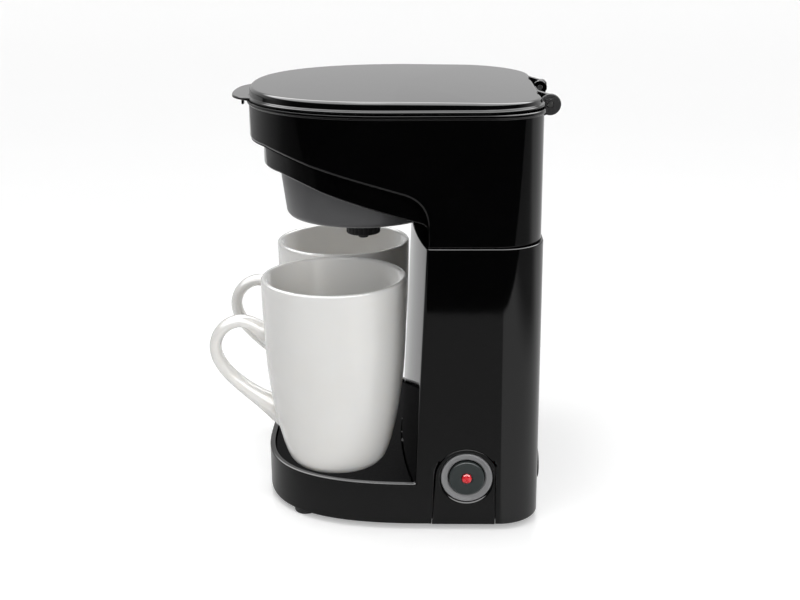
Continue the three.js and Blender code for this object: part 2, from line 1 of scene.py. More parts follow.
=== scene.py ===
"""Looks of a two-cup drip coffee maker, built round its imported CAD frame.

Everything is in metres, in the frame's own axes: +Z up, the cups' side faces -Y, the power button
is on the +X side. The frame gives the places; the classes below give the fine shapes and finishes.
"""
import sys
import logging
import math
from collections.abc import Callable, Iterable, Sequence
from dataclasses import dataclass, field
from enum import Enum

import bmesh
import bpy
from mathutils import Matrix, Vector


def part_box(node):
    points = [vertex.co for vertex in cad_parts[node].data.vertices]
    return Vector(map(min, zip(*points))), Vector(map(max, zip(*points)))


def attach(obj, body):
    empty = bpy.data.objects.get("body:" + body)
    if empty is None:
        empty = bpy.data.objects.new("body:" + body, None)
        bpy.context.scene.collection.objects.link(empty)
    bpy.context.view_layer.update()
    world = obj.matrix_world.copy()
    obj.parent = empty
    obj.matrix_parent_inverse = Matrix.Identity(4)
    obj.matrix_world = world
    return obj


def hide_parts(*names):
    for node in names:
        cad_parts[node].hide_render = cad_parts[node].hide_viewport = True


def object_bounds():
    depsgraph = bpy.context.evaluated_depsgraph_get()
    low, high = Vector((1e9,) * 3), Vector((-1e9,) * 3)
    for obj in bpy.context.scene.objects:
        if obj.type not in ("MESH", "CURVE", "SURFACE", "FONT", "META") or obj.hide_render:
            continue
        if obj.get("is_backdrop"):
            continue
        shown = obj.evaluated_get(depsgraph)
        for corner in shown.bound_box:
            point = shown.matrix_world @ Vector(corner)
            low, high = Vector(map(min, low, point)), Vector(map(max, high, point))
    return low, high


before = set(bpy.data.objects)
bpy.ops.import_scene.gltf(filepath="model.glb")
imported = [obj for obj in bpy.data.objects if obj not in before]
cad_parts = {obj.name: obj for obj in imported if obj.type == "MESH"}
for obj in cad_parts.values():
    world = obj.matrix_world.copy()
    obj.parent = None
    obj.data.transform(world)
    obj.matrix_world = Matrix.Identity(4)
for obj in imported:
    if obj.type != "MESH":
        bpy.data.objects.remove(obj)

log = logging.getLogger("coffee_maker")
MM = 0.001
BODY_BACK = 76.5 * MM           # from the body's middle line to its back
MUG_AHEAD = 36.5 * MM           # from the middle line to the mugs' axes
MUG_ASIDE = 40.8 * MM           # from the machine's centre plane to each mug's axis
BASE_POWER, HEAD_POWER = 3.0, 2.3   # how square the plans are at the front

Point2 = tuple[float, float]
Colour = tuple[float, float, float]


class Axis(Enum):
    """The row axis that a turned or drawn-out form follows."""

    X = "x"
    Y = "y"
    Z = "z"


# ------------------------------------------------------------------------------ shader maths
class Value:
    """A number in a node tree: wraps an output socket, so that arithmetic adds Math nodes."""

    def __init__(self, nodes: "Nodes", socket: bpy.types.NodeSocket) -> None:
        """Keeps the socket and the tree that it lies in."""
        self.nodes = nodes
        self.socket = socket

    def _math(self, operation: str, *terms: "Value | float") -> "Value":
        """Adds one Math node.

        Args:
            operation: the Math node's operation.
            terms: its inputs, in order.

        Returns:
            The node's output.
        """
        return self.nodes.value("ShaderNodeMath", {"operation": operation}, dict(enumerate(terms)))

    def __add__(self, other: "Value | float") -> "Value":
        """Sum of the two."""
        return self._math("ADD", self, other)

    __radd__ = __add__

    def __sub__(self, other: "Value | float") -> "Value":
        """This less the other."""
        return self._math("SUBTRACT", self, other)

    def __rsub__(self, other: "Value | float") -> "Value":
        """The other less this."""
        return self._math("SUBTRACT", other, self)

    def __mul__(self, other: "Value | float") -> "Value":
        """Product of the two."""
        return self._math("MULTIPLY", self, other)

    __rmul__ = __mul__

    def clamped(self) -> "Value":
        """This, kept from 0 to 1."""
        return self.nodes.value("ShaderNodeClamp", {}, {"Value": self})

    def step(self, low: float, high: float) -> "Value":
        """A smooth rise from 0 at low to 1 at high."""
        settings = {"interpolation_type": "SMOOTHSTEP"}
        return self.nodes.value(
            "ShaderNodeMapRange", settings, {"Value": self, "From Min": low, "From Max": high})


class Nodes:
    """A node tree under construction."""

    def __init__(self, tree: bpy.types.NodeTree) -> None:
        """Keeps the tree."""
        self.tree = tree

    def node(self, kind: str, settings: dict, inputs: dict) -> bpy.types.Node:
        """Adds any node.

        Args:
            kind: the node's type.
            settings: its properties, set before its sockets.
            inputs: values or links of its sockets, by name or number.

        Returns:
            The node.
        """
        node = self.tree.nodes.new(kind)
        for key, setting in settings.items():
            setattr(node, key, setting)
        for key, given in inputs.items():
            if isinstance(given, Value):
                given = given.socket
            if isinstance(given, bpy.types.NodeSocket):
                self.tree.links.new(given, node.inputs[key])
            else:
                node.inputs[key].default_value = given
        return node

    def value(self, kind: str, settings: dict, inputs: dict, output: int | str = 0) -> Value:
        """Adds a node and wraps one of its outputs as a number."""
        return Value(self, self.node(kind, settings, inputs).outputs[output])

    def ray(self, kind: str) -> Value:
        """1 for rays of that kind, else 0."""
        return self.value("ShaderNodeLightPath", {}, {}, kind)

    def split(self, vector: bpy.types.NodeSocket) -> tuple[Value, Value, Value]:
        """The three parts of a vector."""
        node = self.node("ShaderNodeSeparateXYZ", {}, {0: vector})
        return tuple(Value(self, socket) for socket in node.outputs)


class Shader(Nodes):
    """One material under construction, with a Principled surface."""

    def __init__(self, name: str, colour: Colour, **sockets: "float | Colour") -> None:
        """Starts the material.

        Args:
            name: the material's name.
            colour: base colour, linear.
            sockets: values of the surface's sockets, with _ for a blank in their names.
        """
        self.material = bpy.data.materials.new(name)
        self.material.use_nodes = True
        super().__init__(self.material.node_tree)
        self.surface = self.tree.nodes["Principled BSDF"]
        self.surface.inputs["Base Color"].default_value = (*colour, 1)
        self.material.diffuse_color = (*colour, 1)
        for key, given in sockets.items():
            self.surface.inputs[key.replace("_", " ")].default_value = given

    def place(self) -> bpy.types.NodeSocket:
        """The point on the piece, in metres in the frame's axes."""
        return self.node("ShaderNodeTexCoord", {}, {}).outputs["Object"]

    def stretched(self, scale: Colour) -> bpy.types.NodeSocket:
        """The point on the piece, with each axis scaled."""
        node = self.node("ShaderNodeVectorMath", {"operation": "MULTIPLY"}, {0: self.place(), 1: scale})
        return node.outputs[0]

    def noise(self, pitch: float, detail: float = 2.0, at: bpy.types.NodeSocket | None = None) -> Value:
        """Soft noise.

        Args:
            pitch: the size of its blotches, in metres.
            detail: octaves of finer noise.
            at: where it is read; the point on the piece if left out.

        Returns:
            A number of about 0 to 1, mostly near a half.
        """
        inputs = {"Vector": at or self.place(), "Scale": 1 / pitch, "Detail": detail}
        return self.value("ShaderNodeTexNoise", {}, inputs)

    def cells(self, pitch: float) -> Value:
        """Distance to the nearest of points scattered a pitch apart, in pitches."""
        inputs = {"Vector": self.place(), "Scale": 1 / pitch}
        return self.value("ShaderNodeTexVoronoi", {}, inputs, "Distance")

    def mixed(self, factor: Value, low: Colour, high: Colour) -> bpy.types.NodeSocket:
        """A colour between two, by a factor."""
        inputs = {"Factor": factor, 6: (*low, 1), 7: (*high, 1)}
        node = self.node("ShaderNodeMix", {"data_type": "RGBA"}, inputs)
        return node.outputs[2]

    def feed(self, socket: str, given: "Value | bpy.types.NodeSocket") -> None:
        """Links a value or colour to a socket of the surface."""
        link = given.socket if isinstance(given, Value) else given
        self.tree.links.new(link, self.surface.inputs[socket])

    def bump(self, *layers: tuple[Value, float]) -> None:
        """Chains bumps into the surface's normal.

        Args:
            layers: pairs of a height and its depth in metres.
        """
        normal = None
        for height, depth in layers:
            inputs = {"Height": height, "Distance": depth, "Strength": 1.0}
            if normal is not None:
                inputs["Normal"] = normal
            normal = self.node("ShaderNodeBump", {}, inputs).outputs[0]
        self.feed("Normal", normal)


# ------------------------------------------------------------------------------ finishes
@dataclass(frozen=True)
class MouldedPlastic:
    """Injection-moulded plastic: from a polished gloss to a fine spark-eroded grain."""

    name: str
    colour: Colour
    roughness: float
    grain_pitch: float = 0.0007
    grain_depth: float = 0.0
    ripple_depth: float = 0.00001
    ripple_pitch: float = 0.012
    dust: float = 0.0
    specular: float = 0.5

    def build(self) -> bpy.types.Material:
        """Makes the material: flow ripple, grain, soft handling haze and a little dust."""
        shader = Shader(self.name, self.colour, Roughness=self.roughness, Specular_IOR_Level=self.specular)
        haze = shader.noise(0.03, 3).step(0.45, 0.75)
        fine = shader.noise(0.0009, 2)
        specks = (1 - shader.cells(0.0042).step(0.012, 0.045)) * shader.noise(0.02, 1).step(0.5, 0.6)
        roughness = self.roughness + haze * 0.035 + fine * 0.02 + specks * (0.3 * self.dust)
        shader.feed("Roughness", roughness.clamped())
        lifted = tuple(min(1.0, channel * 1.35 + 0.0008) for channel in self.colour)
        dusty = (haze * 0.35 + specks * self.dust).clamped()
        shader.feed("Base Color", shader.mixed(dusty, self.colour, lifted))
        layers = [(shader.noise(self.ripple_pitch, 1), self.ripple_depth)]
        if self.grain_depth:
            layers.append((shader.noise(self.grain_pitch, 3), self.grain_depth))
            layers.append((shader.cells(self.grain_pitch * 1.7), self.grain_depth))
        shader.bump(*layers)
        return shader.material


@dataclass(frozen=True)
class GlazedCeramic:
    """White stoneware under a clear glaze that pools and thins a little."""

    name: str
    colour: Colour = (0.83, 0.82, 0.795)
    pooled: Colour = (0.78, 0.765, 0.73)

    def build(self) -> bpy.types.Material:
        """Makes the material: glaze ripple, faint pooling, tiny iron specks."""
        shader = Shader(
            self.name, self.colour, Roughness=0.2, Coat_Weight=0.6, Coat_Roughness=0.06, Coat_IOR=1.5,
            Subsurface_Weight=0.35, Subsurface_Scale=0.012, Subsurface_Radius=(1.0, 0.92, 0.82))
        pooling = shader.noise(0.045, 2).step(0.35, 0.8)
        specks = (1 - shader.cells(0.009).step(0.010, 0.022)) * shader.noise(0.03, 1).step(0.52, 0.6)
        thin = (pooling * 0.5 + specks * 0.4).clamped()
        shader.feed("Base Color", shader.mixed(thin, self.colour, self.pooled))
        shader.feed("Roughness", (0.16 + pooling * 0.08 + shader.noise(0.004, 2) * 0.04).clamped())
        shader.bump((shader.noise(0.014, 1), 0.00012), (shader.noise(0.0016, 2), 0.000006))
        return shader.material


@dataclass(frozen=True)
class BareClay:
    """Unglazed stoneware, as on the foot ring of a mug."""

    name: str
    colour: Colour = (0.62, 0.58, 0.52)

    def build(self) -> bpy.types.Material:
        """Makes the material: a sandy, dry grain."""
        shader = Shader(self.name, self.colour, Roughness=0.85)
        sand = shader.noise(0.0008, 4)
        dark = tuple(channel * 0.7 for channel in self.colour)
        shader.feed("Base Color", shader.mixed(sand.step(0.4, 0.7), self.colour, dark))
        shader.bump((sand, 0.00012))
        return shader.material


@dataclass(frozen=True)
class Rubber:
    """Black rubber with a matt, slightly bloomed skin."""

    name: str
    colour: Colour = (0.012, 0.012, 0.012)

    def build(self) -> bpy.types.Material:
        """Makes the material: a dry bloom and a fine pitting."""
        shader = Shader(self.name, self.colour, Roughness=0.7)
        bloom = shader.noise(0.005, 3).step(0.4, 0.8)
        shader.feed("Base Color", shader.mixed(bloom, self.colour, (0.035, 0.035, 0.034)))
        shader.feed("Roughness", (0.6 + bloom * 0.25).clamped())
        shader.bump((shader.noise(0.0005, 3), 0.00004))
        return shader.material


@dataclass(frozen=True)
class BrushedMetal:
    """Rolled or extruded metal with a grain along one axis."""

    name: str
    colour: Colour
    roughness: float = 0.32
    along: Axis = Axis.X

    def build(self) -> bpy.types.Material:
        """Makes the material: fine draw lines, tarnish blotches."""
        shader = Shader(self.name, self.colour, Roughness=self.roughness, Metallic=1.0)
        scale = tuple(0.06 if axis is self.along else 1.0 for axis in Axis)
        lines = shader.noise(0.0006, 3, at=shader.stretched(scale))
        tarnish = shader.noise(0.01, 3).step(0.4, 0.75)
        dull = tuple(channel * 0.72 for channel in self.colour)
        shader.feed("Base Color", shader.mixed(tarnish, self.colour, dull))
        shader.feed("Roughness", (self.roughness - 0.08 + lines * 0.2 + tarnish * 0.1).clamped())
        shader.bump((lines, 0.00002))
        return shader.material


@dataclass(frozen=True)
class WovenMesh:
    """Fine nylon gauze of the reusable filter, woven square."""

    name: str
    colour: Colour = (0.45, 0.27, 0.08)
    pitch: float = 0.0011

    def build(self) -> bpy.types.Material:
        """Makes the material: threads as raised waves both ways, with the holes between painted dark as shade
        seen through the weave.
        """
        shader = Shader(self.name, self.colour, Roughness=0.45)
        waves = []
        for direction in ("X", "Z"):
            settings = {"wave_type": "BANDS", "bands_direction": direction, "wave_profile": "SIN"}
            inputs = {"Vector": shader.place(), "Scale": 0.314 / self.pitch, "Distortion": 0.0}
            waves.append(shader.value("ShaderNodeTexWave", settings, inputs, "Fac"))
        threads = (waves[0] * 0.5 + waves[1] * 0.5).step(0.25, 0.75)
        # Painted shade: the holes between threads get a dark brown in place of the shade seen through them.
        shader.feed("Base Color", shader.mixed(threads, (0.09, 0.045, 0.012), self.colour))
        shader.bump((threads, 0.00025))
        return shader.material


@dataclass(frozen=True)
class Translucent:
    """Smoke-grey clear plastic or pale silicone, with a wavy inner skin."""

    name: str
    colour: Colour
    roughness: float
    subsurface: float = 0.3

    def build(self) -> bpy.types.Material:
        """Makes the material: cloudy body colour, water-spotted surface."""
        shader = Shader(
            self.name, self.colour, Roughness=self.roughness, Subsurface_Weight=self.subsurface,
            Subsurface_Radius=(0.003, 0.003, 0.003))
        cloud = shader.noise(0.018, 3).step(0.35, 0.8)
        deeper = tuple(channel * 0.75 for channel in self.colour)
        shader.feed("Base Color", shader.mixed(cloud, self.colour, deeper))
        shader.feed("Roughness", (self.roughness + shader.noise(0.002, 2) * 0.12).clamped())
        shader.bump((shader.noise(0.009, 2), 0.00008))
        return shader.material


@dataclass(frozen=True)
class JewelLens:
    """Cast red lens of the power light, lit softly from behind."""

    name: str
    colour: Colour = (0.5, 0.006, 0.012)

    def build(self) -> bpy.types.Material:
        """Makes the material: patches of deeper red, a low glow."""
        shader = Shader(
            self.name, self.colour, Roughness=0.12, Coat_Weight=1.0, Coat_Roughness=0.03,
            Emission_Strength=0.12)
        depth = shader.noise(0.0016, 2).step(0.3, 0.7)
        shader.feed("Base Color", shader.mixed(depth, self.colour, (0.75, 0.03, 0.045)))
        shader.feed("Emission Color", shader.mixed(depth, (0.5, 0.005, 0.01), (1.0, 0.06, 0.07)))
        shader.bump((shader.noise(0.0009, 2), 0.00004))
        return shader.material


class Finishes:
    """The finishes of the machine, each made once and then shared."""

    recipes = {
        "gloss_black": MouldedPlastic("gloss_black_shell", (0.0012, 0.0012, 0.0013), 0.045, dust=0.5),
        "satin_black": MouldedPlastic(
            "satin_black_plastic", (0.02, 0.02, 0.0212), 0.3, grain_depth=0.00002, ripple_pitch=0.02),
        "basket_grey": MouldedPlastic(
            "smooth_basket_plastic", (0.085, 0.085, 0.088), 0.3, grain_depth=0.00001, ripple_pitch=0.02),
        "matt_black": MouldedPlastic(
            "matt_black_plastic", (0.012, 0.012, 0.0125), 0.55, grain_depth=0.00012, grain_pitch=0.0011),
        "tray_black": MouldedPlastic(
            "leather_grain_tray", (0.003, 0.003, 0.0032), 0.5, grain_depth=0.00012, grain_pitch=0.001,
            specular=0.008),
        "button_grey": MouldedPlastic(
            "button_ring_grey", (0.23, 0.23, 0.235), 0.28, grain_depth=0.00001),
        "button_cap": MouldedPlastic("button_cap_grey", (0.025, 0.031, 0.031), 0.3, grain_depth=0.00001),
        "lens_red": JewelLens("red_jewel_lens"),
        "rubber_black": Rubber("black_rubber"),
        "ceramic_white": GlazedCeramic("white_glaze"),
        "clay": BareClay("bare_clay_foot"),
        "steel": BrushedMetal("drawn_steel", (0.5, 0.51, 0.52)),
        "aluminium": BrushedMetal("extruded_aluminium", (0.62, 0.63, 0.64), 0.42, Axis.Y),
        "tank_grey": Translucent("smoke_tank", (0.2, 0.215, 0.23), 0.12),
        "silicone": Translucent("pale_silicone", (0.62, 0.61, 0.57), 0.45, 0.5),
        "nylon_gold": WovenMesh("nylon_gauze"),
        "white_plastic": MouldedPlastic("white_nylon", (0.7, 0.7, 0.67), 0.4, grain_depth=0.00002),
        "lead_red": MouldedPlastic("red_wire_jacket", (0.35, 0.02, 0.02), 0.4, grain_depth=0.00001),
    }

    def __init__(self) -> None:
        """Starts with nothing made."""
        self.made: dict[str, bpy.types.Material] = {}

    def __getitem__(self, name: str) -> bpy.types.Material:
        """The finish of that name, made the first time it is asked for."""
        if name not in self.made:
            self.made[name] = self.recipes[name].build()
            log.info("finish %s", self.made[name].name)
        return self.made[name]


# ------------------------------------------------------------------------------ forms
def arc(centre: Point2, radius: float, start: float, end: float, steps: int) -> list[Point2]:
    """Points on an arc.

    Args:
        centre: the arc's centre.
        radius: its radius.
        start: angle of the first point, in degrees.
        end: angle of the last point, in degrees.
        steps: how many chords.

    Returns:
        steps + 1 points.
    """
    turns = [math.radians(start + (end - start) * i / steps) for i in range(steps + 1)]
    return [(centre[0] + radius * math.cos(t), centre[1] + radius * math.sin(t)) for t in turns]


def bend(start: Point2, control: Point2, end: Point2, steps: int = 16) -> list[Point2]:
    """Points on a quadratic curve, without its first point."""
    shares = [i / steps for i in range(1, steps + 1)]
    return [tuple((1 - t) ** 2 * a + 2 * t * (1 - t) * b + t * t * c for a, b, c in zip(start, control, end))
            for t in shares]


def smooth_line(points: Sequence[Sequence[float]], per_span: int = 8) -> list[tuple[float, ...]]:
    """A Catmull-Rom curve through points of any dimension."""
    ends = [points[0], *points, points[-1]]
    line = []
    for a, b, c, d in zip(ends, ends[1:], ends[2:], ends[3:]):
        for i in range(per_span):
            t = i / per_span
            line.append(tuple(
                0.5 * (2 * q + (r - p) * t + (2 * p - 5 * q + 4 * r - s) * t * t
                       + (3 * q - p - 3 * r + s) * t ** 3)
                for p, q, r, s in zip(a, b, c, d)))
    line.append(tuple(points[-1]))
    return line


class Form:
    """A closed mesh being shaped, before it becomes a piece of the machine."""

    def __init__(self, points: Iterable[Sequence[float]], faces: Iterable[Sequence[int]]) -> None:
        """Makes the mesh and turns its faces outward."""
        mesh = bpy.data.meshes.new("form")
        mesh.from_pydata([tuple(p) for p in points], [], [tuple(f) for f in faces])
        work = bmesh.new()
        work.from_mesh(mesh)
        bmesh.ops.remove_doubles(work, verts=work.verts, dist=1e-7)
        bmesh.ops.recalc_face_normals(work, faces=work.faces)
        if work.calc_volume(signed=True) < 0:
            bmesh.ops.reverse_faces(work, faces=work.faces)
        work.to_mesh(mesh)
        work.free()
        self.holder = bpy.data.objects.new("form", mesh)
        bpy.context.scene.collection.objects.link(self.holder)

    @classmethod
    def stacked(cls, rings: Sequence[Sequence[Sequence[float]]]) -> "Form":
        """Skins rings of equal length, in order, with a cap on each end."""
        count, last = len(rings[0]), len(rings) - 1
        faces = []
        for row in range(last):
            low, high = row * count, (row + 1) * count
            for i in range(count):
                j = (i + 1) % count
                faces.append((low + i, low + j, high + j, high + i))
        faces.append(tuple(range(count)))
        faces.append(tuple(range(last * count, (last + 1) * count)))
        return cls([p for ring in rings for p in ring], faces)

    @classmethod
    def raised(cls, outline: Sequence[Point2], low: float, high: float, lean: float = 0.0) -> "Form":
        """A plan outline raised from low to high, tipped back by lean for each metre of height."""
        return cls.stacked([
            [(x, y, low) for x, y in outline],
            [(x, y + lean * (high - low), high) for x, y in outline]])

    @classmethod
    def across(cls, outline: Sequence[Point2], left: float, right: float) -> "Form":
        """A side-view outline of (y, z) points drawn out along X."""
        return cls.stacked([[(left, y, z) for y, z in outline], [(right, y, z) for y, z in outline]])

    @classmethod
    def turned(
        cls, profile: Sequence[Point2], centre: Sequence[float] = (0, 0, 0), axis: Axis = Axis.Z,
        steps: int = 96, ripple: Callable[[float, float], float] | None = None,
    ) -> "Form":
        """A profile turned about an axis.

        Args:
            profile: (radius, place along the axis) points; it closes on itself or on the axis.
            centre: a point on the axis; its place along the axis is not used.
            axis: which way the axis runs.
            steps: facets round the axis.
            ripple: gives a factor on the radius from the angle and the place along the axis.

        Returns:
            The form.
        """
        def spot(radius: float, along: float, angle: float) -> tuple[float, float, float]:
            """One point of the surface."""
            swell = ripple(angle, along) if ripple else 1.0
            a, b = radius * swell * math.cos(angle), radius * swell * math.sin(angle)
            x, y, z = centre
            return {Axis.X: (along, y + a, z + b), Axis.Y: (x + b, along, z + a),
                    Axis.Z: (x + a, y + b, along)}[axis]

        closed = profile[0] == profile[-1]
        line = profile[:-1] if closed else profile
        points, index = [], []
        for radius, along in line:
            if radius < 1e-7:
                index.append([len(points)] * steps)
                points.append(spot(0, along, 0))
                continue
            index.append([len(points) + i for i in range(steps)])
            points.extend(spot(radius, along, 2 * math.pi * i / steps) for i in range(steps))
        faces = []
        rows = list(zip(index, index[1:])) + ([(index[-1], index[0])] if closed else [])
        for low, high in rows:
            for i in range(steps):
                j = (i + 1) % steps
                corners = [low[i], low[j], high[j], high[i]]
                face = [c for k, c in enumerate(corners) if c not in corners[:k]]
                if len(face) > 2:
                    faces.append(face)
        return cls(points, faces)

    @classmethod
    def rod(
        cls, radius: float, low: float, high: float, centre: Sequence[float], axis: Axis, steps: int,
    ) -> "Form":
        """A plain round rod along an axis, from low to high."""
        return cls.turned([(0, low), (radius, low), (radius, high), (0, high)], centre, axis, steps)

    @classmethod
    def drawn(
        cls, path: Sequence[Vector], sizes: Sequence[Point2], flat: Vector, steps: int = 28,
    ) -> "Form":
        """An oval section drawn along a path that lies in a plane.

        Args:
            path: points of the centre line.
            sizes: half-thickness in the plane and half-width across it, for each point.
            flat: the plane's normal.
            steps: points round the section.

        Returns:
            The form.
        """
        rings = []
        for i, (spot, (thick, wide)) in enumerate(zip(path, sizes)):
            ahead = (path[min(i + 1, len(path) - 1)] - path[max(i - 1, 0)]).normalized()
            side = ahead.cross(flat).normalized()
            turns = [2 * math.pi * k / steps for k in range(steps)]
            rings.append([spot + side * thick * math.cos(t) + flat * wide * math.sin(t) for t in turns])
        return cls.stacked(rings)

    @classmethod
    def block(cls, low: Sequence[float], high: Sequence[float]) -> "Form":
        """A square-cornered block, used as a cutter or before its edges are rounded."""
        (x0, y0, z0), (x1, y1, z1) = low, high
        return cls.raised([(x0, y0), (x1, y0), (x1, y1), (x0, y1)], z0, z1)

    def _settle(self) -> "Form":
        """Applies the modifiers on the form."""
        graph = bpy.context.evaluated_depsgraph_get()
        graph.update()
        done = bpy.data.meshes.new_from_object(self.holder.evaluated_get(graph))
        self.holder.modifiers.clear()
        self.holder.data = done
        return self

    def _combine(self, others: Sequence["Form"], operation: str) -> "Form":
        """Joins, cuts or trims by the other forms, which are used up."""
        for other in others:
            step = self.holder.modifiers.new("step", "BOOLEAN")
            step.operation = operation
            step.solver = "MANIFOLD"
            step.object = other.holder
            self._settle()
            bpy.data.objects.remove(other.holder)
        return self

    def join(self, *others: "Form") -> "Form":
        """Adds the other forms."""
        return self._combine(others, "UNION")

    def cut(self, *others: "Form") -> "Form":
        """Takes the other forms away."""
        return self._combine(others, "DIFFERENCE")

    def trim(self, *others: "Form") -> "Form":
        """Keeps what lies in the other forms too."""
        return self._combine(others, "INTERSECT")

    def rounded(
        self, width: float, segments: int = 3, angle: float = 32.0,
        share: Callable[[Vector, Vector], float] | None = None,
    ) -> "Form":
        """Rounds the form's sharp edges.

        Args:
            width: the widest rounding.
            segments: facets across it.
            angle: edges that turn by more than this many degrees are sharp.
            share: gives the share of the width from an edge's middle and its direction.

        Returns:
            The form.
        """
        work = bmesh.new()
        work.from_mesh(self.holder.data)
        bmesh.ops.dissolve_limit(
            work, angle_limit=math.radians(0.4), verts=work.verts, edges=work.edges,
            use_dissolve_boundaries=False)
        layer = work.edges.layers.float.new("bevel_weight_edge")
        for edge in work.edges:
            if len(edge.link_faces) == 2 and edge.calc_face_angle(0) > math.radians(angle):
                a, b = (v.co for v in edge.verts)
                edge[layer] = share((a + b) / 2, (b - a).normalized()) if share else 1.0
        work.to_mesh(self.holder.data)
        work.free()
        step = self.holder.modifiers.new("round", "BEVEL")
        step.width = width
        step.segments = segments
        step.limit_method = "WEIGHT"
        step.use_clamp_overlap = False
        step.miter_outer = "MITER_ARC"
        return self._settle()

    def piece(
        self, name: str, finish: bpy.types.Material, body: str, slot: str,
        replaces: Sequence[str] = (), crease: float = 40.0,
    ) -> bpy.types.Object:
        """Turns the form into a named piece that rides on a body.

        Args:
            name: the piece's name.
            finish: its material.
            body: the body that it moves with.
            slot: the record's material slot; not used.
            replaces: CAD nodes that it stands for.
            crease: edges sharper than this many degrees stay crisp.

        Returns:
            The piece.
        """
        item = self.holder
        item.name = name
        item.data.name = name
        item.data.materials.clear()
        item.data.materials.append(finish)
        for polygon in item.data.polygons:
            polygon.use_smooth = True
            polygon.material_index = 0
        item.data.set_sharp_from_angle(angle=math.radians(crease))
        weigh = item.modifiers.new("weigh", "WEIGHTED_NORMAL")
        weigh.keep_sharp = True
        self._settle()
        self.holder.data.name = name
        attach(item, body)
        if replaces:
            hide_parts(*replaces)
        log.info("piece %s on %s: %d faces", name, body, len(item.data.polygons))
        return item


# ------------------------------------------------------------------------------ shared layout
@dataclass(frozen=True)
class Plan:
    """Plan outline: a full superellipse at the front, straight sides, two round back corners."""

    half: float
    waist: float
    front: float
    back: float
    corner: float
    power: float
    skipped: int = 0
    front_steps: int = 96
    corner_steps: int = 16

    def outline(self, inset: float = 0.0) -> list[Point2]:
        """Points of the outline, drawn in by an inset."""
        half, front, back = self.half - inset, self.front + inset, self.back - inset
        corner = max(self.corner - inset, 0.0005)
        points = []
        for i in range(self.front_steps + 1):
            if 0 < min(i, self.front_steps - i) <= self.skipped:
                continue
            turn = math.pi * i / self.front_steps
            across = math.copysign(abs(math.cos(turn)) ** (2 / self.power), math.cos(turn))
            ahead = abs(math.sin(turn)) ** (2 / self.power)
            points.append((half * across, self.waist - (self.waist - front) * ahead))
        points += arc((corner - half, back - corner), corner, 180, 90, self.corner_steps)
        points += arc((half - corner, back - corner), corner, 90, 0, self.corner_steps)
        return points


@dataclass(frozen=True)
class Layout:
    """Heights and outlines that the sub-assemblies share, read from the frame."""

    middle: float
    split: float
    tray: float
    rim: float
    base: Plan
    hood: Plan
    chamber: Plan

    @classmethod
    def read(cls) -> "Layout":
        """Works the layout out from the CAD nodes' boxes."""
        low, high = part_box("lower_housing")
        chamber_low, chamber_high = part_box("brew_chamber")
        middle = high.y - BODY_BACK
        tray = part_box("cup_tray")[1].z
        hood_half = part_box("upper_housing")[1].x - 1.0 * MM
        return cls(
            middle=middle, split=high.z, tray=tray, rim=tray + 2.1 * MM,
            base=Plan(high.x, middle + 27 * MM, low.y, high.y, 22.5 * MM, BASE_POWER, skipped=2),
            hood=Plan(hood_half, middle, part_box("upper_housing")[0].y + 1.0 * MM,
                      high.y - 1.0 * MM, 25 * MM, HEAD_POWER),
            chamber=Plan(chamber_high.x, middle, chamber_low.y, chamber_high.y, 1.5 * MM, HEAD_POWER),
        )

    def spot(self, y: float, z: float) -> Point2:
        """A side-view point given in millimetres from the body's middle line."""
        return (self.middle + y * MM, z * MM)


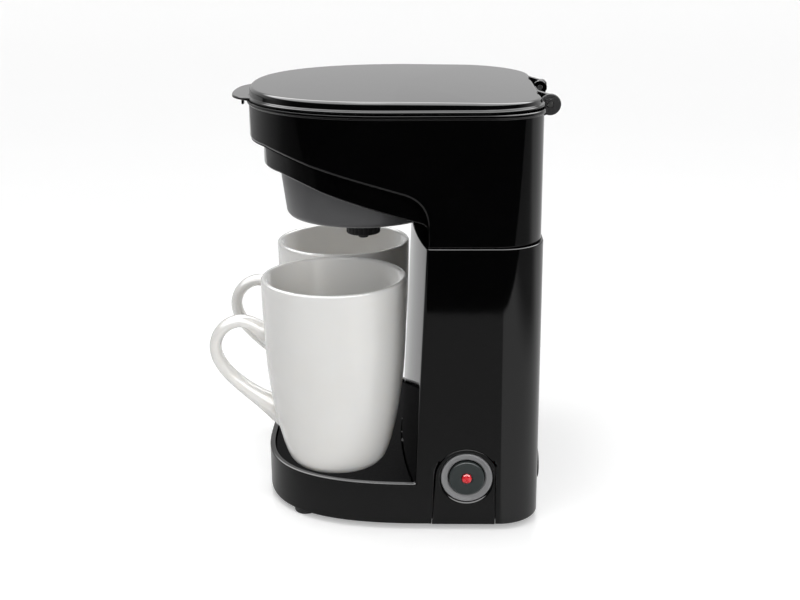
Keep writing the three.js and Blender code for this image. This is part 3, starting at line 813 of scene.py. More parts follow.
# ------------------------------------------------------------------------------ sub-assemblies
@dataclass
class LowerBody:
    """Column and base in one moulding, with its tray, feet and the parts on its back."""

    layout: Layout
    finishes: Finishes
    wall: float = 2.5 * MM
    bulge: float = 9 * MM
    edge_foot: float = 8.6 * MM
    edge_top: float = 15.1 * MM
    edge_roll: float = 1.6 * MM
    rim_roll: float = 0.8 * MM
    recess: float = 1.8 * MM
    gap: float = 0.3 * MM

    @property
    def lean(self) -> float:
        """How far the column's face tips back for each metre of height."""
        return (self.edge_top - self.edge_foot) / (self.layout.split - self.layout.rim)

    def bay(self, low: float, high: float, back: float = 0.0) -> Form:
        """The open space in front of the column, moved back by a little if asked."""
        plan = self.layout.base
        edge = self.layout.middle + self.edge_foot + back + self.lean * (low - self.layout.rim)
        side, ahead, steps = 0.1, -0.13, 64
        outline = [(-side, ahead), (side, ahead), (side, edge)]
        for i in range(steps + 1):
            share = 1 - 2 * i / steps
            outline.append((plan.half * share, edge - self.bulge * (1 - share * share)))
        outline.append((-side, edge))
        return Form.raised(outline, low, high, self.lean)

    def keyhole(self, grow: float) -> list[Point2]:
        """Side-view outline of the button panel: an arch, an upright rear leg, a splayed front leg."""
        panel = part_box("button_panel")
        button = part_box("power_button")
        centre = ((button[0].y + button[1].y) / 2, (button[0].z + button[1].z) / 2)
        radius = panel[1].z - centre[1] + grow
        rear, foot = panel[1].y + grow, panel[0].y - grow
        start = math.degrees(math.acos((rear - centre[0]) / radius))
        low = panel[0].z - (0.001 if grow else 0.0)
        return [(foot, low), (rear, low), *arc(centre, radius, start, 180, 44)]

    def shell(self) -> None:
        """The moulding itself."""
        lay, plan = self.layout, self.layout.base
        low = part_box("lower_housing")[0].z
        deck = lay.tray - 4 * MM
        floor = lay.tray - self.recess
        form = Form.raised(plan.outline(), low, lay.split)
        form.cut(
            self.bay(lay.rim, lay.split + 0.01),
            Form.raised(plan.outline(3 * MM), floor, lay.rim + 0.001)
            .trim(self.bay(floor - 0.001, lay.rim + 0.002)),
            Form.raised(plan.outline(self.wall), low - 0.001, deck),
            Form.raised(plan.outline(self.wall), deck - 0.001, lay.split - self.wall)
            .cut(self.bay(deck - 0.002, lay.split, self.wall)),
            Form.raised(plan.outline(self.wall), lay.split - self.wall - 0.001, lay.split + 0.001)
            .cut(Form.block((-0.1, -0.13, lay.split - 0.01), (0.1, lay.middle + 0.02, lay.split + 0.005))),
            Form.across(self.keyhole(self.gap), plan.half - 0.005, plan.half + 0.005),
        )

        slack = Vector((0, 1, 1)) * 0.001
        keyhole = [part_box("button_panel")[0] - slack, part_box("button_panel")[1] + slack]

        def share(middle: Vector, way: Vector) -> float:
            """Full roll on the column's front edges, less elsewhere, none round the button panel."""
            if abs(middle.x) > plan.half - 0.0005 and abs(way.z) > 0.8 and middle.z > lay.rim:
                return 1.0
            if middle.x > plan.half - 0.006 and keyhole[0].y < middle.y < keyhole[1].y \
                    and middle.z < keyhole[1].z:
                return 0.0
            return self.rim_roll / self.edge_roll if middle.z < lay.rim + 0.002 else 0.42

        form.rounded(self.edge_roll, 4, share=share)
        form.piece("body_column_and_base", self.finishes["gloss_black"], "machine", "gloss_black",
                   ["lower_housing"])

    def tray_plate(self) -> None:
        """The grained mat plate that the cups stand on."""
        lay = self.layout
        low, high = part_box("cup_tray")
        form = Form.raised(lay.base.outline(3.3 * MM), low.z, high.z)
        form.trim(self.bay(low.z - 0.002, high.z + 0.002, -self.gap))
        form.rounded(0.5 * MM, 3)
        form.piece("cup_mat", self.finishes["tray_black"], "machine", "matt_black", ["cup_tray"])

    def feet(self) -> None:
        """Four turned rubber feet with a grip groove."""
        for name in ("foot_fl", "foot_fr", "foot_rl", "foot_rr"):
            low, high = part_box(name)
            radius, top = (high.x - low.x) / 2, high.z
            profile = [(0, low.z + 0.0003), (radius * 0.55, low.z + 0.0003), (radius * 0.6, low.z)]
            profile += arc((radius - 0.001, low.z + 0.001), 0.001, -90, 0, 6)
            profile += [(radius, top), (0, top)]
            form = Form.turned(profile, (low + high) / 2, steps=48)
            form.piece(f"rubber_{name}", self.finishes["rubber_black"], "machine", "rubber_black", [name])

    def back_fittings(self) -> None:
        """Cord gland with its lip and the small rear bumper."""
        low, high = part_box("cord_gland")
        centre = (low + high) / 2
        radius, bore = (high.x - low.x) / 2, 2.6 * MM
        skirt = high.y - 1.3 * MM
        profile = [(bore, low.y), (3.3 * MM, low.y), (3.3 * MM, skirt), (radius, skirt)]
        profile += arc((radius - 0.8 * MM, high.y - 0.8 * MM), 0.8 * MM, 0, 90, 6)
        profile += [(radius - 2.4 * MM, high.y - 0.1 * MM), (bore + 1.6 * MM, high.y - 0.7 * MM)]
        profile += [(bore + 0.6 * MM, high.y), (bore, high.y - 0.5 * MM), (bore, low.y)]
        form = Form.turned(profile, centre, Axis.Y, 64)
        form.piece("cord_gland_ring", self.finishes["rubber_black"], "machine", "rubber_black",
                   ["cord_gland"])
        low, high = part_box("rear_bumper")
        radius = (high.x - low.x) / 2
        profile = [(0, low.y), (1.1 * MM, low.y), (1.1 * MM, high.y - 1.3 * MM), (radius, high.y - 1.3 * MM)]
        profile += arc((radius - 0.9 * MM, high.y - 0.9 * MM), 0.9 * MM, 0, 90, 6)
        form = Form.turned([*profile, (0, high.y)], (low + high) / 2, Axis.Y, 32)
        form.piece("rear_stop", self.finishes["rubber_black"], "machine", "rubber_black", ["rear_bumper"])

    def build(self) -> None:
        """Makes every piece of the lower body."""
        self.shell()
        self.tray_plate()
        self.feet()
        self.back_fittings()


@dataclass
class PowerSwitch:
    """Keyhole panel, grey ring, push cap and its red jewel."""

    body: LowerBody
    finishes: Finishes
    dip: float = 0.9 * MM

    def panel(self) -> None:
        """The flush panel with its round opening."""
        low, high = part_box("button_panel")
        ring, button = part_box("button_bezel"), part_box("power_button")
        hole = (ring[1].y - ring[0].y) / 2 + 0.3 * MM
        form = Form.across(self.body.keyhole(0.0), low.x, high.x)
        opening = [(0, low.x - 0.01), (hole, low.x - 0.01), (hole, high.x - self.dip)]
        opening += [(hole + self.dip, high.x + 0.0001), (hole + self.dip, high.x + 0.01), (0, high.x + 0.01)]
        form.cut(Form.turned(opening, (button[0] + button[1]) / 2, Axis.X, 72))
        form.rounded(0.35 * MM, 3)
        form.piece("button_side_panel", self.finishes["gloss_black"], "machine", "gloss_black",
                   ["button_panel"])

    def ring(self) -> None:
        """The dished grey ring round the cap."""
        low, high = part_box("button_bezel")
        outer, inner = (high.y - low.y) / 2, 10 * MM
        face = high.x
        profile = [(inner, low.x), (outer, low.x), (outer, face - 0.6 * MM)]
        profile += arc((outer - 0.6 * MM, face - 0.6 * MM), 0.6 * MM, 0, 90, 6)
        profile += [(outer - 1.1 * MM, face - 0.12 * MM), (outer - 1.9 * MM, face - 0.55 * MM)]
        profile += [(outer - 2.6 * MM, face - 0.8 * MM), (outer - 3.1 * MM, face - 0.85 * MM)]
        profile += [(inner + 0.55 * MM, face - 1.25 * MM), (inner + 0.2 * MM, face - 1.5 * MM)]
        profile += [(inner, face - 2 * MM), (inner, low.x)]
        form = Form.turned(profile, (low + high) / 2, Axis.X, 96)
        form.piece("button_grey_ring", self.finishes["button_grey"], "machine", "button_grey",
                   ["button_bezel"])

    def cap(self) -> None:
        """The push cap, slightly dished, with a seat for the jewel."""
        low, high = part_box("power_button")
        radius, face = (high.y - low.y) / 2, high.x
        seat, depth = 3.1 * MM, 1.6 * MM
        profile = [(0, low.x), (3 * MM, low.x), (3 * MM, face - 3 * MM), (radius, face - 3 * MM)]
        profile += arc((radius - 0.7 * MM, face - 0.7 * MM), 0.7 * MM, 0, 90, 6)
        profile += [(radius * 0.7, face - 0.22 * MM), (radius * 0.5, face - 0.32 * MM)]
        profile += [(seat + 0.5 * MM, face - 0.34 * MM), (seat, face - 0.6 * MM)]
        profile += [(seat, face - depth), (0, face - depth)]
        form = Form.turned(profile, (low + high) / 2, Axis.X, 96)
        form.piece("push_cap", self.finishes["button_cap"], "button", "satin_black", ["power_button"])

    def jewel(self) -> None:
        """The faceted red lens."""
        low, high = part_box("indicator_lens")
        radius, face = (high.y - low.y) / 2, high.x
        profile = [(0, low.x), (radius, low.x), (radius, face - 0.75 * MM)]
        profile += [(radius * 0.72, face - 0.25 * MM), (radius * 0.36, face), (0, face)]
        form = Form.turned(profile, (low + high) / 2, Axis.X, 8)
        form.rounded(0.08 * MM, 1, 18)
        form.piece("red_jewel", self.finishes["lens_red"], "button", "lens_red",
                   ["indicator_lens"], crease=12)

    def build(self) -> None:
        """Makes every piece of the switch."""
        self.panel()
        self.ring()
        self.cap()
        self.jewel()


@dataclass
class BrewHead:
    """Hooded upper housing, brew chamber, basket and spout."""

    layout: Layout
    finishes: Finishes
    wall: float = 2.5 * MM
    roll: float = 2.0 * MM
    basket_wall: float = 2 * MM

    def swoop(self) -> list[Point2]:
        """Side view of the space under the hood's swept lower edge."""
        spot = self.layout.spot
        line = [spot(-130, 120), spot(-130, 207), spot(-72, 207)]
        line += bend(spot(-72, 207), spot(-62, 205.5), spot(-45.5, 200))
        line += [spot(-12, 191.1), spot(3, 186.8)]
        line += bend(spot(3, 186.8), spot(14.6, 183.2), spot(15.2, 171), 20)
        return [*line, spot(15.2, 120)]

    def hood(self) -> None:
        """The upper housing's shell with the collar under the lid."""
        lay, plan = self.layout, self.layout.hood
        low = lay.split + 0.3 * MM
        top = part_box("lid")[1].z - 8 * MM
        lip = top + 1.4 * MM
        form = Form.raised(plan.outline(), low, top)
        form.join(Form.raised(plan.outline(-1 * MM), top - 0.7 * MM, lip))
        form.cut(
            Form.raised(plan.outline(self.wall), low - 0.005, lip + 0.005),
            Form.across(self.swoop(), -0.1, 0.1),
            Form.block((-0.045, plan.back, top - 0.005), (0.045, plan.back + 0.005, lip + 0.005)),
        )

        def share(middle: Vector, way: Vector) -> float:
            """Full roll along the swept edge, thin lines elsewhere."""
            swept = middle.y < lay.middle + 0.016 and middle.z < 0.21
            if swept and (abs(way.z) > 0.8 or middle.z > low + 0.002):
                return 1.0
            return 0.35

        form.rounded(self.roll, 4, share=share)
        form.piece("hood_shell", self.finishes["gloss_black"], "machine", "gloss_black", ["upper_housing"])

    def lugs(self) -> None:
        """Hinge lugs on the hood's back: flat-topped blocks, the right one under a stepped round cap."""
        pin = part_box("hinge_pin_right")
        y, z = (pin[0].y + pin[1].y) / 2, (pin[0].z + pin[1].z) / 2
        back, top = self.layout.hood.back, z + 3.4 * MM
        lug, bore = 4.6 * MM, 1.75 * MM
        side_view = [(back + 0.05 * MM, z - 6.6 * MM), (y, z - lug), (y + lug * 0.75, z - lug * 0.6)]
        side_view += [(y + lug, z), (y + lug, z + 2 * MM), (y + lug - 1.4 * MM, top), (back + 1.8 * MM, top)]
        side_view += [(back + 1.8 * MM, z - 1.4 * MM), (back + 0.05 * MM, z - 1.4 * MM)]
        for side in (-1, 1):
            ends = sorted((side * 34 * MM, side * 40 * MM))
            form = Form.across(side_view, *ends).rounded(0.6 * MM, 3)
            if side > 0:
                face = ends[1]
                profile = [(0, face - 1.7 * MM), (5.4 * MM, face - 1.7 * MM), (5.7 * MM, face - 1.4 * MM)]
                profile += arc((5.1 * MM, face - 0.6 * MM), 0.6 * MM, 0, 90, 5)
                profile += [(3.6 * MM, face), (3.4 * MM, face - 0.4 * MM), (2.7 * MM, face - 0.4 * MM)]
                profile += [(2.5 * MM, face), (0, face)]
                form.join(Form.turned(profile, (0, y, z), Axis.X, 64))
                form.cut(Form.block((face - 0.5 * MM, y + 5.2 * MM, z - 0.2 * MM),
                                    (face + 0.001, y + 0.01, z + 1.2 * MM)))
            form.cut(Form.rod(bore, -0.06, 0.06, (0, y, z), Axis.X, 32))
            name = "hinge_lug_left" if side < 0 else "hinge_lug_right"
            form.piece(name, self.finishes["matt_black"], "machine", "gloss_black", ["upper_housing"])

    def underside(self, lift: float, reach: float = 0.0) -> list[Point2]:
        """Side view of the space under the brew chamber's sloping floor."""
        mid = self.layout.middle

        def spot(y: float, z: float) -> Point2:
            """A point of the floor's line, lifted."""
            across, up = self.layout.spot(y, z)
            return (across, up + lift)

        line = [(mid - 0.13, 0.12), spot(-130, 193), spot(-64, 193)]
        line += bend(spot(-64, 193), spot(-54, 191.6), spot(-40, 186.4))
        corner = spot(13, 171.2)
        line.append((corner[0] + reach, corner[1]))
        line.append((mid + 17 * MM + reach, 168 * MM + lift))
        return [*line, (mid + 17 * MM + reach, 0.12)]

    def chamber(self) -> None:
        """The tub inside the hood that the basket hangs in."""
        lay, plan = self.layout, self.layout.chamber
        low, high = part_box("brew_chamber")
        basket_low, basket_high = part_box("filter_basket")
        centre = (basket_low + basket_high) / 2
        wall, well = 2.2 * MM, 47.7 * MM
        room = Form.raised(plan.outline(wall), low.z + wall, high.z + 0.005)
        room.cut(Form.across(self.underside(wall, wall), -0.1, 0.1))
        form = Form.raised(plan.outline(), low.z, high.z)
        form.cut(Form.across(self.underside(0), -0.1, 0.1))
        form.cut(room)
        top = basket_high.z - 3 * MM
        collar = Form.rod(well + wall, low.z, top, centre, Axis.Z, 96)
        collar.cut(Form.across(self.underside(0), -0.1, 0.1))
        form.join(collar)
        form.cut(Form.rod(well, low.z - 0.01, high.z + 0.01, centre, Axis.Z, 96))
        form.rounded(0.8 * MM, 3)
        form.piece("chamber_tub", self.finishes["gloss_black"], "machine", "gloss_black", ["brew_chamber"])

    def basket(self) -> None:
        """The turned basket with its filleted floor and rolled flange."""
        low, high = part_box("filter_basket")
        centre = (low + high) / 2
        z, top, wall = low.z, high.z, self.basket_wall
        foot, mouth, flange, drain = 43.7 * MM, 47.2 * MM, (high.x - low.x) / 2, 4 * MM
        profile = [(drain, z), (foot - 5 * MM, z)]
        profile += arc((foot - 4 * MM, z + 4 * MM), 4 * MM, -85, -4, 10)
        profile += [(mouth - 1.2 * MM, z + 22 * MM), (mouth, top - 2.9 * MM)]
        profile += [(mouth + 0.5 * MM, top - 2.4 * MM), (flange - 0.5 * MM, top - 2.4 * MM)]
        profile += arc((flange - 0.9 * MM, top - 0.9 * MM), 0.9 * MM, -40, 90, 8)
        profile += [(mouth - wall, top), (mouth - 1.2 * MM - wall, z + 22 * MM), (foot - wall, z + 5 * MM)]
        profile += [(foot - wall - 3 * MM, z + wall), (drain, z + wall), (drain, z)]
        form = Form.turned(profile, centre, steps=128)
        form.piece("brew_basket", self.finishes["basket_grey"], "machine", "satin_black",
                   ["filter_basket"], crease=50)

    def spout(self) -> None:
        """The ribbed outlet under the basket, with its drip point and two outlets."""
        low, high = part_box("outlet_nozzle")
        centre = (low + high) / 2
        radius, tip, skirt = (high.x - low.x) / 2, low.z, 148 * MM

        def ribs(angle: float, along: float) -> float:
            """Shallow upright ribs on the skirt only."""
            inside = skirt + 0.9 * MM < along < high.z - 1.2 * MM
            return 1 - 0.055 * max(0.0, math.cos(22 * angle)) ** 0.5 * inside

        profile = [(0, tip), (1.8 * MM, tip)] + arc((2.2 * MM, tip + 0.8 * MM), 0.8 * MM, -90, 0, 5)
        profile += [(3 * MM, skirt + 0.2 * MM), (radius - 1.2 * MM, skirt)]
        profile += arc((radius - 0.9 * MM, skirt + 0.9 * MM), 0.9 * MM, -90, 0, 5)
        profile += [(radius, skirt + 1.2 * MM), (radius, high.z - 1.6 * MM), (radius, high.z - 1 * MM)]
        profile += [(radius - 0.8 * MM, high.z), (0, high.z)]
        form = Form.turned(profile, centre, steps=176, ripple=ribs)
        for x in (-6.4 * MM, 6.4 * MM):
            form.cut(Form.rod(1.8 * MM, skirt - 0.002, skirt + 0.006, (x, centre.y, 0), Axis.Z, 24))
        form.piece("ribbed_spout", self.finishes["matt_black"], "machine", "matt_black", ["outlet_nozzle"])

    def build(self) -> None:
        """Makes every piece of the head."""
        self.hood()
        self.lugs()
        self.chamber()
        self.basket()
        self.spout()


@dataclass
class Lid:
    """Flip-up lid: a crown on a flange, with a thumb tab and two hinge barrels."""

    layout: Layout
    finishes: Finishes
    edge: float = 1.9 * MM
    shell: float = 2.6 * MM
    fall: float = 2.4 * MM

    def crown(self) -> None:
        """The lid itself, skinned ring by ring so that its gloss runs clean."""
        low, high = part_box("lid")
        mid, top = self.layout.middle, high.z
        skirt = top - 6 * MM
        flange = Plan(high.x, mid, mid - 85 * MM, mid + 76.7 * MM, 34 * MM, HEAD_POWER)
        crown = Plan(high.x - 1.2 * MM, mid, mid - 83.7 * MM, mid + 75.2 * MM, 36 * MM, HEAD_POWER)
        lift = skirt + 1.9 * MM

        def drop(y: float) -> float:
            """How far the crown's top falls towards the hinge."""
            return self.fall * (max(0.0, y - mid) / (crown.back - mid)) ** 2

        def ring(plan: Plan, inset: float, z: float, scale: float = 1.0) -> list[tuple[float, float, float]]:
            """One ring of the crown, lowered by its share of the fall and drawn in by a scale."""
            share = max(0.0, (z - lift) / (top - lift))
            places = [(x * scale, mid + (y - mid) * scale) for x, y in plan.outline(inset)]
            return [(x, y, z - share * drop(y)) for x, y in places]

        rings = [(flange, 2.0 * MM, skirt), (flange, 0.35 * MM, skirt), (flange, 0.0, skirt + 0.3 * MM)]
        rings += [(flange, 0.0, skirt + 0.9 * MM), (flange, 0.35 * MM, skirt + 1.3 * MM)]
        rings += [(crown, -0.35 * MM, skirt + 1.45 * MM), (crown, 0.0, lift)]
        rings += [(crown, 0.25 * MM, top - self.edge - 0.3 * MM)]
        for inset, height in arc((0, 0), self.edge, 0, 90, 8)[1:]:
            rings.append((crown, 0.3 * MM + self.edge - inset, top - self.edge + height))
        steps = (0.97, 0.93, 0.86, 0.77, 0.66, 0.54, 0.42, 0.3, 0.18, 0.06)
        outer = [ring(*given) for given in rings]
        outer += [ring(crown, 0.3 * MM + self.edge, top, scale) for scale in steps]
        shell = Form.stacked(outer)
        roof = top - self.shell
        inner = [[(x, y, skirt - 0.004) for x, y in crown.outline(2.4 * MM)],
                 [(x, y, roof - 0.8 * MM - 0.6 * drop(y)) for x, y in crown.outline(2.6 * MM)]]
        for scale in (1.0, *steps):
            inner.append([(x * scale, mid + (y - mid) * scale,
                           roof - max(0.0, drop(mid + (y - mid) * scale) - 1 * MM))
                          for x, y in crown.outline(3.4 * MM)])
        shell.cut(Form.stacked(inner))
        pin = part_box("hinge_pin_right")
        for side in (-1, 1):
            ends = sorted((side * 33.5 * MM, side * 40.5 * MM))
            shell.cut(Form.block((ends[0], flange.back - 2.3 * MM, skirt - 0.001),
                                 (ends[1], flange.back + 0.001, skirt + 1.5 * MM)))
        shell.join(self.tab(skirt, flange, crown), self.peg(skirt), *self.barrels(skirt, crown))
        centre = (pin[0] + pin[1]) / 2
        shell.cut(Form.rod(1.8 * MM, -0.06, 0.06, (0, centre.y, centre.z), Axis.X, 32))
        shell.piece("lid_crown", self.finishes["gloss_black"], "lid", "gloss_black", ["lid"], crease=28)

    def tab(self, skirt: float, flange: Plan, crown: Plan) -> Form:
        """The thumb tab that grows out of the flange."""
        front = flange.front
        root = front + 8 * MM
        left = [(-35 * MM, root)]
        left += bend((-35 * MM, root), (-29 * MM, front - 4 * MM), (-17 * MM, front - 7 * MM))
        left += bend((-17 * MM, front - 7 * MM), (0, front - 10 * MM), (17 * MM, front - 7 * MM), 24)
        left += bend((17 * MM, front - 7 * MM), (29 * MM, front - 4 * MM), (35 * MM, root))
        form = Form.raised(left, skirt - 0.2 * MM, skirt + 1.35 * MM)
        form.cut(Form.raised(crown.outline(1.2 * MM), skirt - 0.005, skirt + 0.005))
        return form.rounded(0.55 * MM, 3, share=lambda middle, way: float(middle.y < front + 0.003))

    def peg(self, skirt: float) -> Form:
        """The small stop under the tab."""
        y = self.layout.middle - 86.6 * MM
        form = Form.block((12 * MM, y - 0.6 * MM, skirt - 4.4 * MM),
                          (16 * MM, y + 0.6 * MM, skirt + 0.6 * MM))
        return form.rounded(0.4 * MM, 3, share=lambda middle, way: float(middle.z < skirt - 0.001))

    def barrels(self, skirt: float, crown: Plan) -> list[Form]:
        """Two hinge barrels behind the crown."""
        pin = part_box("hinge_pin_right")
        centre = (pin[0] + pin[1]) / 2
        made = []
        for side in (-1, 1):
            ends = sorted((side * 27 * MM, side * 33.7 * MM))
            made.append(Form.turned(
                [(0, ends[0]), (3.8 * MM, ends[0]), (4.2 * MM, ends[0] + 0.4 * MM),
                 (4.2 * MM, ends[1] - 0.4 * MM), (3.8 * MM, ends[1]), (0, ends[1])],
                (0, centre.y, centre.z), Axis.X, 48))
            start = crown.back - 1.2 * MM
            made.append(Form.across(
                [(start, skirt + 0.6 * MM), (centre.y, centre.z - 1 * MM),
                 (centre.y + 1 * MM, centre.z + 4 * MM), (start, skirt + 4.4 * MM)],
                ends[0] + 0.4 * MM, ends[1] - 0.4 * MM))
        return made

    def build(self) -> None:
        """Makes the lid."""
        self.crown()


@dataclass
class Mug:
    """A glazed mug: a narrow foot opening into a near straight wall, with an ear handle."""

    name: str
    finishes: Finishes
    wall: float = 3 * MM
    profile: Sequence[Point2] = (
        (25.2, 0.6), (26.6, 2.2), (28.3, 5), (30.9, 12.5), (33.9, 25), (36.2, 37.5), (38.1, 52.5), (39.3, 70),
        (39.95, 88), (40.25, 103.5))
    ear: Sequence[tuple[float, float, float, float]] = (
        (-69.5, 96.8, 7.4, 8), (-72.8, 98.6, 6.6, 7.6), (-76.4, 100.9, 5.2, 6.4),
        (-81, 104.2, 4.1, 5.8), (-86, 106.7, 3.6, 5.5),
        (-91.5, 107.2, 3.4, 5.4), (-97.5, 104.6, 3.35, 5.4), (-102.05, 99.6, 3.3, 5.4),
        (-104.2, 92.8, 3.3, 5.4), (-103.05, 85.6, 3.35, 5.4), (-98.8, 78.2, 3.5, 5.4),
        (-92.2, 71.2, 3.8, 5.4), (-84.6, 64.9, 4.4, 5.6), (-78, 60.2, 5.4, 6.2), (-71.6, 55.9, 7, 7.6),
        (-65.5, 52, 8.6, 8.4))

    def stand(self) -> tuple[tuple[float, float, float], float, float]:
        """Where the mug stands: a point on its axis, its foot's height and its rim's."""
        low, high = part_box(self.name)
        side = 1 if high.x > 0.05 else -1
        return (side * MUG_ASIDE, self.centre_y(), 0.0), low.z, high.z

    def wall_line(self) -> tuple[list[Point2], list[Point2]]:
        """The wall's outer profile going up, and its inner profile with the cove going down."""
        base = self.stand()[1]
        outer = [(r * MM, base + h * MM) for r, h in smooth_line(self.profile, 7)]
        inner = [(r - self.wall, z) for r, z in reversed(outer) if z > base + 9 * MM]
        floor = base + 4.6 * MM
        cove = bend(inner[-1], (inner[-1][0] - 2.2 * MM, floor + 0.4 * MM), (14 * MM, floor), 10)
        return outer, [*inner, *cove, (0, floor)]

    def cup(self) -> Form:
        """The turned cup with its rolled rim, coved floor and foot ring."""
        centre, base, rim = self.stand()
        outer, inner = self.wall_line()
        half = self.wall / 2
        lip = arc((outer[-1][0] - half, rim - half), half, 0, 180, 12)
        foot = [(0, base + 1.4 * MM), (21 * MM, base + 1.4 * MM), (22 * MM, base + 1.0 * MM)]
        foot += [(22.6 * MM, base + 0.2 * MM), (23.3 * MM, base), (24.3 * MM, base)]
        return Form.turned([*foot, *outer, *lip, *inner], centre, steps=144)

    @staticmethod
    def centre_y() -> float:
        """The mugs' centre line: the body's middle less how far forward they stand."""
        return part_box("lower_housing")[1].y - BODY_BACK - MUG_AHEAD

    def handle(self) -> Form:
        """The ear, flared where it meets the wall."""
        centre, _, rim = self.stand()
        shift = centre[1] + MUG_AHEAD
        line = smooth_line(self.ear, 6)
        path = [Vector((centre[0], shift + y * MM, z * MM)) for y, z, _, _ in line]
        sizes = [(thick * MM, wide * MM) for _, _, thick, wide in line]
        inner = self.wall_line()[1]
        grow = 0.4 * MM
        room = [(0, rim), (inner[0][0] + grow, rim), *((r + grow * (r > 0), z) for r, z in inner)]
        return Form.drawn(path, sizes, Vector((1, 0, 0))).cut(Form.turned(room, centre, steps=72))

    def build(self) -> None:
        """Makes the mug in one piece, glazed all over but for its foot ring."""
        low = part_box(self.name)[0]
        form = self.cup().join(self.handle())
        item = form.piece(f"{self.name}_glazed", self.finishes["ceramic_white"], self.name, "ceramic_white",
                          [self.name], crease=60)
        item.visible_glossy = False
        item.data.materials.append(self.finishes["clay"])
        for polygon in item.data.polygons:
            if polygon.center.z < low.z + 0.15 * MM:
                polygon.material_index = 1


@dataclass
class InnerParts:
    """The CAD nodes that stay as they are, each with its own finish."""

    finishes: Finishes
    dressed: dict[str, str] = field(default_factory=lambda: {
        "base_plate": "satin_black", "permanent_filter": "nylon_gold", "filter_rim": "matt_black",
        "water_guide": "matt_black", "spray_head": "matt_black", "water_tank": "tank_grey",
        "heater_block": "aluminium", "heater_clamp_front": "steel", "heater_clamp_rear": "steel",
        "riser_tube": "silicone", "inlet_hose": "silicone", "check_valve": "silicone",
        "thermostat": "steel", "thermal_fuse": "white_plastic", "terminal_block": "white_plastic",
        "switch_body": "satin_black", "lead_live": "lead_red", "hinge_pin_left": "rubber_black",
        "hinge_pin_right": "rubber_black", "base_screw_fl": "steel", "base_screw_fr": "steel",
        "base_screw_rl": "steel", "base_screw_rr": "steel"})

    def build(self) -> None:
        """Gives each node its finish."""
        for name, finish in self.dressed.items():
            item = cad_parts[name]
            item.data.materials.clear()
            item.data.materials.append(self.finishes[finish])
            log.info("dressed %s in %s", name, finish)


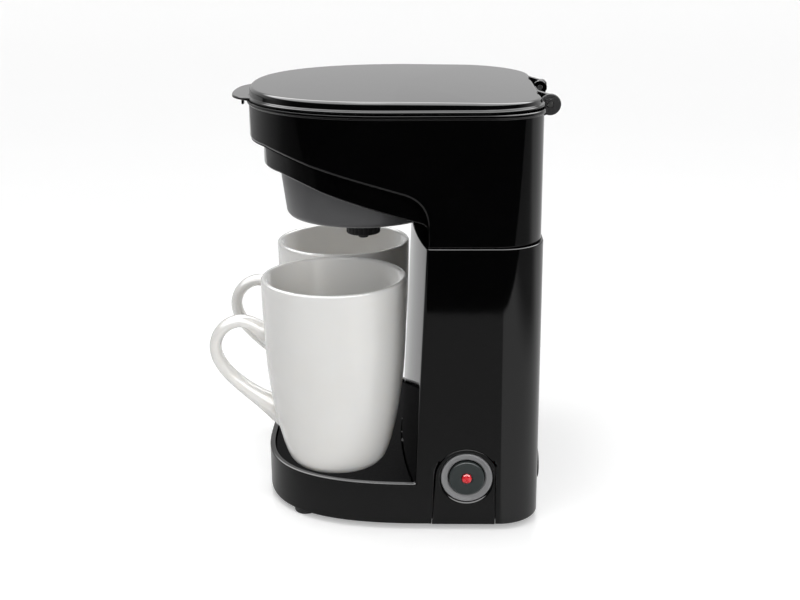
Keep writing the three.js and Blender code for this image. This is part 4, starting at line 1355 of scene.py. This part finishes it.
# ------------------------------------------------------------------------------ studio
@dataclass
class Studio:
    """Pale floor, soft lights and the camera."""

    eye: tuple[float, float, float] = (0.70263, 0.0269, 0.32563)
    yaw: float = -0.0245
    pitch: float = 0.302
    roll: float = -0.0083
    lens: float = 56.2
    sensor: float = 36.0
    table_edge: float = 0.47
    reach: float = 9.0
    # mirrored is the floor's painted reflection level seen by gloss surfaces; glow is the floor's painted
    # glow for camera rays.
    mirrored: float = 0.33
    paper: float = 0.93
    glow: float = 0.28
    ambient: float = 0.56
    backdrop: float = 1.05

    def camera(self) -> None:
        """Places the camera by its eye point and its yaw, pitch and roll."""
        ahead = Vector((
            -math.cos(self.yaw) * math.cos(self.pitch), math.sin(self.yaw) * math.cos(self.pitch),
            -math.sin(self.pitch)))
        level = ahead.cross(Vector((0, 0, 1))).normalized()
        above = level.cross(ahead)
        right = level * math.cos(self.roll) + above * math.sin(self.roll)
        up = above * math.cos(self.roll) - level * math.sin(self.roll)
        data = bpy.data.cameras.new("camera")
        data.lens, data.sensor_width, data.clip_start = self.lens, self.sensor, 0.01
        item = bpy.data.objects.new("camera", data)
        turn = Matrix((right, up, -ahead)).transposed().to_4x4()
        item.matrix_world = Matrix.Translation(self.eye) @ turn
        bpy.context.scene.collection.objects.link(item)
        bpy.context.scene.camera = item

    def sheet(self, name: str, low: Point2, high: Point2, glossy: bool) -> None:
        """A flat rectangle of floor; glossy says whether gloss surfaces mirror it. Its colour is painted by
        ray: a painted glow for the camera, a darker floor patterned by place for gloss surfaces as painted
        reflection, and a darker floor for bounce light as painted shade.
        """
        shader = Shader(
            name, (self.paper,) * 3, Roughness=0.16, Specular_IOR_Level=0.25, Emission_Strength=1.0)
        across, along, _ = shader.split(shader.place())
        # Painted reflection: gloss surfaces see the floor at the mirrored level in front, paper white behind
        # the machine, lighter on its +Y side close by, darker on that side further out, and much darker past
        # -0.56 m in Y.
        behind = 1 - across.step(-0.15, 0.1)
        beside = (along - across * 0.13 - 0.053).step(0.0, 0.006)
        near = 1 - along.step(0.3, 0.5)
        ahead = self.mirrored + beside * (near * 0.63 - 0.1)
        mirrored = (ahead + behind * (self.paper - ahead)) * (0.15 + along.step(-0.56, -0.5) * 0.85)
        # Gloss rays get that painted reflection, bounce rays a floor darkened as painted shade, camera rays
        # plain white.
        level = 1.0 + shader.ray("Is Glossy Ray") * (mirrored - 1.0) + shader.ray("Is Diffuse Ray") * -0.45
        shader.feed("Base Color", shader.mixed(level.clamped(), (0, 0, 0), (1, 1, 1)))
        # Painted glow: the floor lights itself for camera rays only.
        glow = shader.mixed(shader.ray("Is Camera Ray"), (0, 0, 0), (self.glow,) * 3)
        shader.feed("Emission Color", glow)
        mesh = bpy.data.meshes.new(name)
        corners = [(low[0], low[1], 0), (high[0], low[1], 0), (high[0], high[1], 0), (low[0], high[1], 0)]
        mesh.from_pydata(corners, [], [(0, 1, 2, 3)])
        item = bpy.data.objects.new(name, mesh)
        mesh.materials.append(shader.material)
        item.visible_glossy = glossy
        bpy.context.scene.collection.objects.link(item)
        item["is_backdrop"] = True

    def floor(self) -> None:
        """A white table, and beyond its near edge floor that gloss surfaces don't mirror."""
        reach = self.reach
        self.sheet("table", (-reach, -reach), (self.table_edge, reach), True)
        self.sheet("table_front", (self.table_edge, -reach), (reach, reach), False)

    def lamp(self, name: str, place: Sequence[float], size: float, power: float, mirrored: bool) -> None:
        """A soft box that faces the object; mirrored says whether gloss surfaces show it."""
        data = bpy.data.lights.new(name, "AREA")
        data.shape, data.size, data.energy = "SQUARE", size, power
        item = bpy.data.objects.new(name, data)
        spot = Vector(place)
        item.matrix_world = Matrix.Translation(spot) @ (
            (Vector((0, 0, 0.12)) - spot).to_track_quat("-Z", "Y").to_matrix().to_4x4())
        item.visible_glossy = mirrored
        bpy.context.scene.collection.objects.link(item)

    def sky(self) -> None:
        """White for the camera; for gloss surfaces bright behind and overhead, dark below the horizon."""
        world = bpy.data.worlds.new("studio")
        bpy.context.scene.world = world
        world.use_nodes = True
        nodes = Nodes(world.node_tree)
        place = nodes.node("ShaderNodeTexCoord", {}, {}).outputs["Generated"]
        ahead, _, height = nodes.split(place)
        rise = ((height + 0.02) * 20).clamped()
        back = 0.02 + ahead.step(0.3, -0.7) * 0.7
        level = rise * back + height.step(0.4, 0.58) * 6.0
        lit = self.ambient + nodes.ray("Is Glossy Ray") * (level - self.ambient)
        seen = lit + nodes.ray("Is Camera Ray") * (self.backdrop - lit)
        shade = nodes.tree.nodes["Background"]
        nodes.tree.links.new(seen.socket, shade.inputs["Strength"])
        shade.inputs["Color"].default_value = (1, 1, 1, 1)

    def build(self) -> None:
        """Makes the studio."""
        self.camera()
        self.floor()
        self.sky()
        self.lamp("overhead", (0.1, -0.2, 1.5), 0.4, 4.5, True)
        self.lamp("right_fill", (1.25, 0.6, 0.4), 0.6, 6.5, False)
        self.lamp("front_fill", (0.9, -0.5, 0.9), 0.6, 0.8, False)
        bpy.context.scene.view_settings.view_transform = "Standard"


def corners(box: tuple[Vector, Vector]) -> list[list[float]]:
    """A box as plain lists."""
    return [list(box[0]), list(box[1])]


def main() -> None:
    """Builds the studio and the machine, and works out both sizes."""
    logging.basicConfig(level=logging.INFO, format="%(message)s", stream=sys.stdout)
    cad = corners(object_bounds())
    Studio().build()
    finishes = Finishes()
    layout = Layout.read()
    body = LowerBody(layout, finishes)
    body.build()
    PowerSwitch(body, finishes).build()
    BrewHead(layout, finishes).build()
    Lid(layout, finishes).build()
    for name in ("mug_left", "mug_right"):
        Mug(name, finishes).build()
    InnerParts(finishes).build()
    {"cad": cad, "visual": corners(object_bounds())}


if __name__ == "__main__":
    main()
